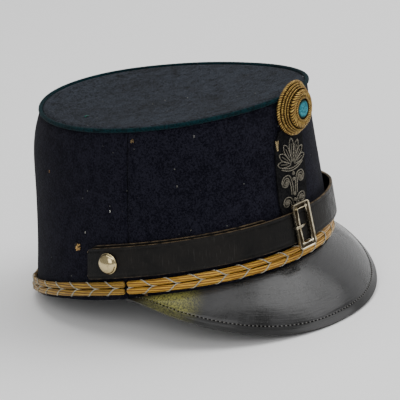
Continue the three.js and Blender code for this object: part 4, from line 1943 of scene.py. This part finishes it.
    def scrolls(self) -> list[Piece]:
        """Two pairs of doubled scrolls that turn out from a middle stem."""
        wires = []
        for side in (-1, 1):
            for name, start, radius in (("upper", 54.0, 4.3), ("lower", 41.5, 3.6)):
                for line, inset in enumerate((0.0, 1.7)):
                    points = [(side * (0.8 + inset), start - 13.0), (side * (1.1 + inset), start - 8.0)]
                    points += [(side * (2.2 + inset), start - 3.6 - 0.4 * inset)]
                    for step in range(8 - 2 * line):
                        turn = math.radians(125 - 55 * step)
                        reach = (radius - inset) * (1 - 0.1 * step)
                        x = side * (6.6 + reach * math.cos(turn))
                        points.append((x, start - 4.4 + reach * math.sin(turn)))
                    title = f"scroll_{name}_{side + 1}_{line}"
                    wires.append(self.wire_line(title, points, self.wire_radius))
        return wires

    def beads(self) -> list[Piece]:
        """Small knots at the scrolls' eyes and down the stem."""
        pieces = []
        places = [(0.0, height) for height in (53.4, 50.0, 41.0, 37.5)]
        places += [(side * 6.6, height) for side in (-1, 1) for height in (49.4, 37.0)]
        for number, (x, height) in enumerate(places):
            ring = []
            for turn in range(6):
                way = TAU * turn / 6
                up = height + self.knot_radius * math.sin(way)
                ring.append((x + self.knot_radius * math.cos(way), up))
            pieces.append(self.wire_line(f"bead_{number}", ring, self.knot_wire, True))
        return pieces

    def build(self) -> None:
        """Builds and dresses the patch and its wire."""
        finish_piece(self.patch(), self.cloth.make(), "patch_cloth", ["emblem_patch"])
        ornament = join("emblem_wire", [*self.palmette(), *self.scrolls(), *self.beads()])
        finish_piece(ornament, self.wire.make(), "patch_cloth")
        pins = [
            self.wire_line("pin_a", [(-12.6, 76.4), (-12.2, 73.5), (-11.6, 70.2)], 0.55),
            self.wire_line("pin_b", [(-10.9, 76.2), (-11.4, 73.4), (-11.7, 70.4)], 0.45),
        ]
        finish_piece(join("emblem_pin", pins), self.pin.make(), "gold_bullion")


@dataclass(frozen=True)
class Fluff:
    """A bit of thread on the wall, or on the top at a share of the way from its middle."""

    name: str
    angle: float
    height: float
    size: float
    colour: Colour
    top_share: Optional[float] = None


@dataclass
class LooseThreads:
    """Bits of thread and lint that cling to the cloth."""

    form: CrownForm = FORM
    tufts: tuple[Fluff, ...] = (
        Fluff("ochre_tuft", -97.5, 30.6, 3.4, (0.62, 0.38, 0.12)),
        Fluff("green_fleck", -111.4, 0.0, 2.2, (0.01, 0.11, 0.09), 0.776),
        # A near-black tangle over a small hole in the cloth: painted shade inside the hole.
        Fluff("shaded_hole", -98.6, 32.0, 2.2, (0.001, 0.001, 0.001)),
        Fluff("ochre_hole", -71.9, 91.9, 1.9, (0.17, 0.11, 0.04)),
        Fluff("gold_end", -66.7, 0.2, 1.6, (0.45, 0.27, 0.06)),
        Fluff("white_fleck_a", -81.5, 51.7, 0.8, (0.55, 0.55, 0.50)),
        Fluff("white_fleck_b", -93.7, 39.7, 0.6, (0.50, 0.50, 0.46)),
        Fluff("orange_fleck", -115.9, 77.3, 0.7, (0.40, 0.22, 0.08)),
        Fluff("white_fleck_c", -46.8, 90.2, 1.0, (0.13, 0.13, 0.13)),
        Fluff("white_fleck_d", -54.1, 62.4, 0.7, (0.12, 0.12, 0.11)),
    )
    threads: int = 9
    thread_points: int = 4
    thickest: float = 0.4
    top_inset: float = 1.7
    top_lift: float = 1.05
    lint_count: int = 18
    lint_low: float = 34.0
    lint_high: float = 92.0
    lint_radius: float = 0.13
    lint_colour: Colour = (0.20, 0.20, 0.18)
    seed: int = 8

    def strand(self, name: str, points: Sequence[Vector], radius: float) -> Piece:
        """A short thread through points in the row frame."""

        def station(u: float) -> Station:
            """A station of the thread."""
            along = (on_path(points, u + 0.08, True) - on_path(points, u - 0.08, True)).normalized()
            helper = Vector((0.3, 0.2, 1)) if abs(along.z) < 0.9 else Vector((1, 0, 0))
            out = along.cross(helper).normalized()
            return Station(on_path(points, u, True), out, out.cross(along))

        return make_tube(name, 3 * len(points) - 1, 5, station, lambda u, turn: (radius, radius))

    def on_top(self, angle: float, share: float) -> Vector:
        """A point of the top's cloth."""
        return self.form.dished_top(angle, share, self.top_inset, self.top_lift)

    def tuft(self, fluff: Fluff, rng: random.Random) -> Piece:
        """A small tangle of threads."""
        pieces = []
        thickness = lerp(self.lint_radius, self.thickest, ease(0.6, 3.4, fluff.size)) * MM
        for number in range(self.threads):
            points = []
            for step in range(self.thread_points):
                across, along = rng.uniform(-0.5, 0.5) * fluff.size, rng.uniform(-0.6, 0.6) * fluff.size
                out = rng.uniform(0.05, 0.3) * min(fluff.size, 2.0)
                if fluff.top_share is None:
                    angle = fluff.angle + across / self.form.wall_degree
                    p = self.form.wall_at(angle, fluff.height + along + 0.2 * step, out)
                else:
                    p = self.on_top(fluff.angle, fluff.top_share) + Vector((across, along, out))
                points.append(self.form.place(p))
            pieces.append(self.strand(f"{fluff.name}_{number}", points, thickness))
        return join(fluff.name, pieces)

    def lint(self, rng: random.Random) -> Piece:
        """Specks scattered over the wall and the top."""
        pieces = []
        for number in range(self.lint_count):
            angle = rng.uniform(0, 360)
            height = rng.uniform(self.lint_low, self.lint_high)
            size = rng.uniform(0.25, 0.8)
            on_top = number % 4 == 0
            points = []
            for _ in range(3):
                if on_top:
                    share = 0.15 + 0.6 * (height - self.lint_low) / (self.lint_high - self.lint_low)
                    p = self.on_top(angle, share)
                    p += Vector((rng.uniform(-size, size), rng.uniform(-size, size), rng.uniform(0.1, 0.5)))
                else:
                    turn = angle + rng.uniform(-size, size) / self.form.wall_degree
                    p = self.form.wall_at(turn, height + rng.uniform(-size, size), rng.uniform(0.05, 0.4))
                points.append(self.form.place(p))
            pieces.append(self.strand(f"lint_{number}", points, self.lint_radius * MM))
        return join("lint_threads", pieces)

    def build(self) -> None:
        """Builds and dresses the loose threads."""
        rng = random.Random(self.seed)
        for fluff in self.tufts:
            piece = self.tuft(fluff, rng)
            dark = tuple(0.6 * c for c in fluff.colour)
            name = f"{fluff.name}_thread"
            finish = ThreadFinish(name, dark=dark, light=fluff.colour, metal=0.0, rough=0.8)
            finish_piece(piece, finish.make(), "gold_cord")
        shade = self.lint_colour
        pale = ThreadFinish("lint_thread", dark=shade, light=shade, metal=0.0, rough=0.9)
        finish_piece(self.lint(rng), pale.make(), "navy_cloth")


@dataclass
class WoolFuzz:
    """Short hairs that stand off the wool, mostly seen along its outline."""

    form: CrownForm = FORM
    wall_hairs: int = 9000
    rim_hairs: int = 3000
    longest: float = 1.5
    shortest_share: float = 0.25
    lean: float = 0.6
    root_depth: float = 0.5
    radius: float = 0.035
    seed: int = 11
    hair: ThreadFinish = ThreadFinish(
        "wool_hair",
        dark=(0.006, 0.006, 0.010),
        light=(0.022, 0.023, 0.032),
        groove=(0.01,) * 3,
        metal=0.0,
        rough=0.95,
    )

    def bundle(self, name: str, count: int) -> Piece:
        """A row of thin cones, four points each, made as one and repeated by an array."""
        deselect()
        foot = (0, 0, 0.5)
        bpy.ops.mesh.primitive_cone_add(vertices=3, radius1=1.0, radius2=0.0, depth=1.0, location=foot)
        piece = bpy.context.object
        piece.name = piece.data.name = name
        settle(piece)
        apply_modifier(piece, "ARRAY", count=count, use_relative_offset=False, use_merge_vertices=False)
        return piece

    def place(self, piece: Piece, roots: Sequence[Root], rng: random.Random) -> None:
        """Moves each cone to its root and leans it.

        Args:
            piece: the bundle.
            roots: the place and way out of each hair, in the cap's frame.
            rng: the source of the hairs' lean and length.
        """
        points = piece.data.vertices
        each = len(points) // len(roots)
        for number, (root, out) in enumerate(roots):
            lean = Vector([rng.gauss(0, self.lean) for _ in range(3)])
            way = (out + lean).normalized()
            length = self.longest * rng.uniform(self.shortest_share, 1.0) ** 1.6
            side = way.cross(Vector((0.1, 0.2, 1))).normalized()
            other = way.cross(side)
            for vertex in points[number * each : (number + 1) * each]:
                local = vertex.co.copy()
                across = (side * local.x + other * local.y) * self.radius
                vertex.co = self.form.place(root + across + way * (local.z * length))
        piece.data.update()

    def wall_roots(self, rng: random.Random) -> list[Root]:
        """Roots scattered over the wall."""
        roots = []
        for _ in range(self.wall_hairs):
            angle, share = rng.uniform(0, 360), rng.uniform(0.04, 0.97)
            roots.append((self.form.wall(angle, share, -self.root_depth), self.form.outward(angle)))
        return roots

    def rim_roots(self, rng: random.Random) -> list[Root]:
        """Roots round the top's edge and on the top near it."""
        roots = []
        for _ in range(self.rim_hairs):
            angle, share = rng.uniform(0, 360), 1 - 0.5 * rng.random() ** 2
            way = self.form.outward(angle) * 0.5 + UP
            roots.append((self.form.dished_top(angle, share, 1.2, 0.9), way.normalized()))
        return roots

    def build(self) -> None:
        """Builds and dresses the fuzz."""
        rng = random.Random(self.seed)
        finish = self.hair.make()
        for name, roots, slot in (
            ("wall_fuzz", self.wall_roots(rng), "navy_cloth"),
            ("top_fuzz", self.rim_roots(rng), "top_cloth"),
        ):
            piece = self.bundle(name, len(roots))
            self.place(piece, roots, rng)
            finish_piece(piece, finish, slot)


@dataclass(frozen=True)
class Lamp:
    """A square soft light: its place and side in metres, its power in watts, its turn in degrees."""

    name: str
    place: tuple[float, float, float]
    size: float
    power: float
    turn: float = 0.0


@dataclass
class Studio:
    """The pale floor, soft lights and camera."""

    azimuth: float = -48.38
    elevation: float = 18.5
    roll: float = -6.58
    distance: float = 1.63537
    lens: float = 236.457
    aim_across: float = 0.01435
    aim_up: float = 0.03823
    lift: float = 0.017459
    forward: float = 0.0129
    floor_size: float = 8.0
    middle: float = 0.06
    sky: float = 0.42
    lamps: tuple[Lamp, ...] = (
        Lamp("key_light", (1.2, -1.25, 1.95), 1.8, 30),
        Lamp("side_light", (-1.5, -0.9, 1.2), 1.5, 17),
        Lamp("top_light", (0.5, -0.2, 2.1), 2.4, 34),
        Lamp("slanted_panel", (2.5, 0.05, 0.72), 1.7, 7, 54),
    )

    def view(self) -> tuple[Vector, Vector, Vector, Vector]:
        """The camera's right, up and back, and its place."""
        a, e, r = (math.radians(v) for v in (self.azimuth, self.elevation, self.roll))
        back = Vector((math.sin(a) * math.cos(e), -math.cos(a) * math.cos(e), math.sin(e)))
        right = Vector((math.cos(a), math.sin(a), 0))
        up = back.cross(right)
        aim = right * self.aim_across + Vector((0, self.forward, self.lift + self.aim_up))
        turned_right = right * math.cos(r) + up * math.sin(r)
        turned_up = up * math.cos(r) - right * math.sin(r)
        return turned_right, turned_up, back, aim + back * self.distance

    def camera(self) -> None:
        """Sets the camera at the photograph's angle."""
        right, up, back, place = self.view()
        lens = bpy.data.cameras.new("photo_camera")
        lens.lens = self.lens
        lens.sensor_width = 36
        lens.clip_end = 50
        camera = bpy.data.objects.new("photo_camera", lens)
        bpy.context.collection.objects.link(camera)
        camera.matrix_world = Matrix.Translation(place) @ Matrix((right, up, back)).transposed().to_4x4()
        bpy.context.scene.camera = camera

    def light(self, lamp: Lamp) -> None:
        """Hangs a light and aims it at the cap's middle."""
        light = bpy.data.lights.new(lamp.name, "AREA")
        light.shape = "SQUARE"
        light.size = lamp.size
        light.energy = lamp.power
        holder = bpy.data.objects.new(lamp.name, light)
        bpy.context.collection.objects.link(holder)
        beam = UP * self.middle - Vector(lamp.place)
        aim = beam.to_track_quat("-Z", "Y").to_matrix().to_4x4()
        turn = Matrix.Rotation(math.radians(lamp.turn), 4, "Z")
        holder.matrix_world = Matrix.Translation(lamp.place) @ aim @ turn

    def floor(self) -> None:
        """The pale floor."""
        deselect()
        bpy.ops.mesh.primitive_plane_add(size=self.floor_size)
        floor = bpy.context.object
        floor.name = "studio_floor"
        material, board, shader, where, _ = Finish("floor_paint", specular=0.2).start()
        tone = board.noise(where, 2.0, 2.0)
        colour = board.mix(tone, (0.93, 0.93, 0.93), (0.95, 0.95, 0.95))
        Finish.drive(board, shader, Base_Color=colour)
        shader.inputs["Roughness"].default_value = 0.8
        floor.data.materials.append(material)

    def build(self) -> None:
        """Sets the stage."""
        world = bpy.data.worlds.new("studio_world")
        world.use_nodes = True
        world.node_tree.nodes["Background"].inputs[0].default_value = (1, 1, 1, 1)
        world.node_tree.nodes["Background"].inputs[1].default_value = self.sky
        bpy.context.scene.world = world
        self.camera()
        self.floor()
        for lamp in self.lamps:
            self.light(lamp)


def main() -> None:
    """Builds the cap, piece by piece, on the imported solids."""
    logging.basicConfig(level=logging.INFO, format="%(name)s %(message)s")
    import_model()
    strap = ChinStrap()
    cloth = (Crown(), Peak(), BaseCords())
    fittings = (strap, SideButtons(strap), Cockade(), Emblem())
    for part in (*cloth, *fittings, LooseThreads(), WoolFuzz()):
        LOG.info("building %s", type(part).__name__)
        part.build()
    Studio().build()
    deselect()


if __name__ == "__main__":
    main()
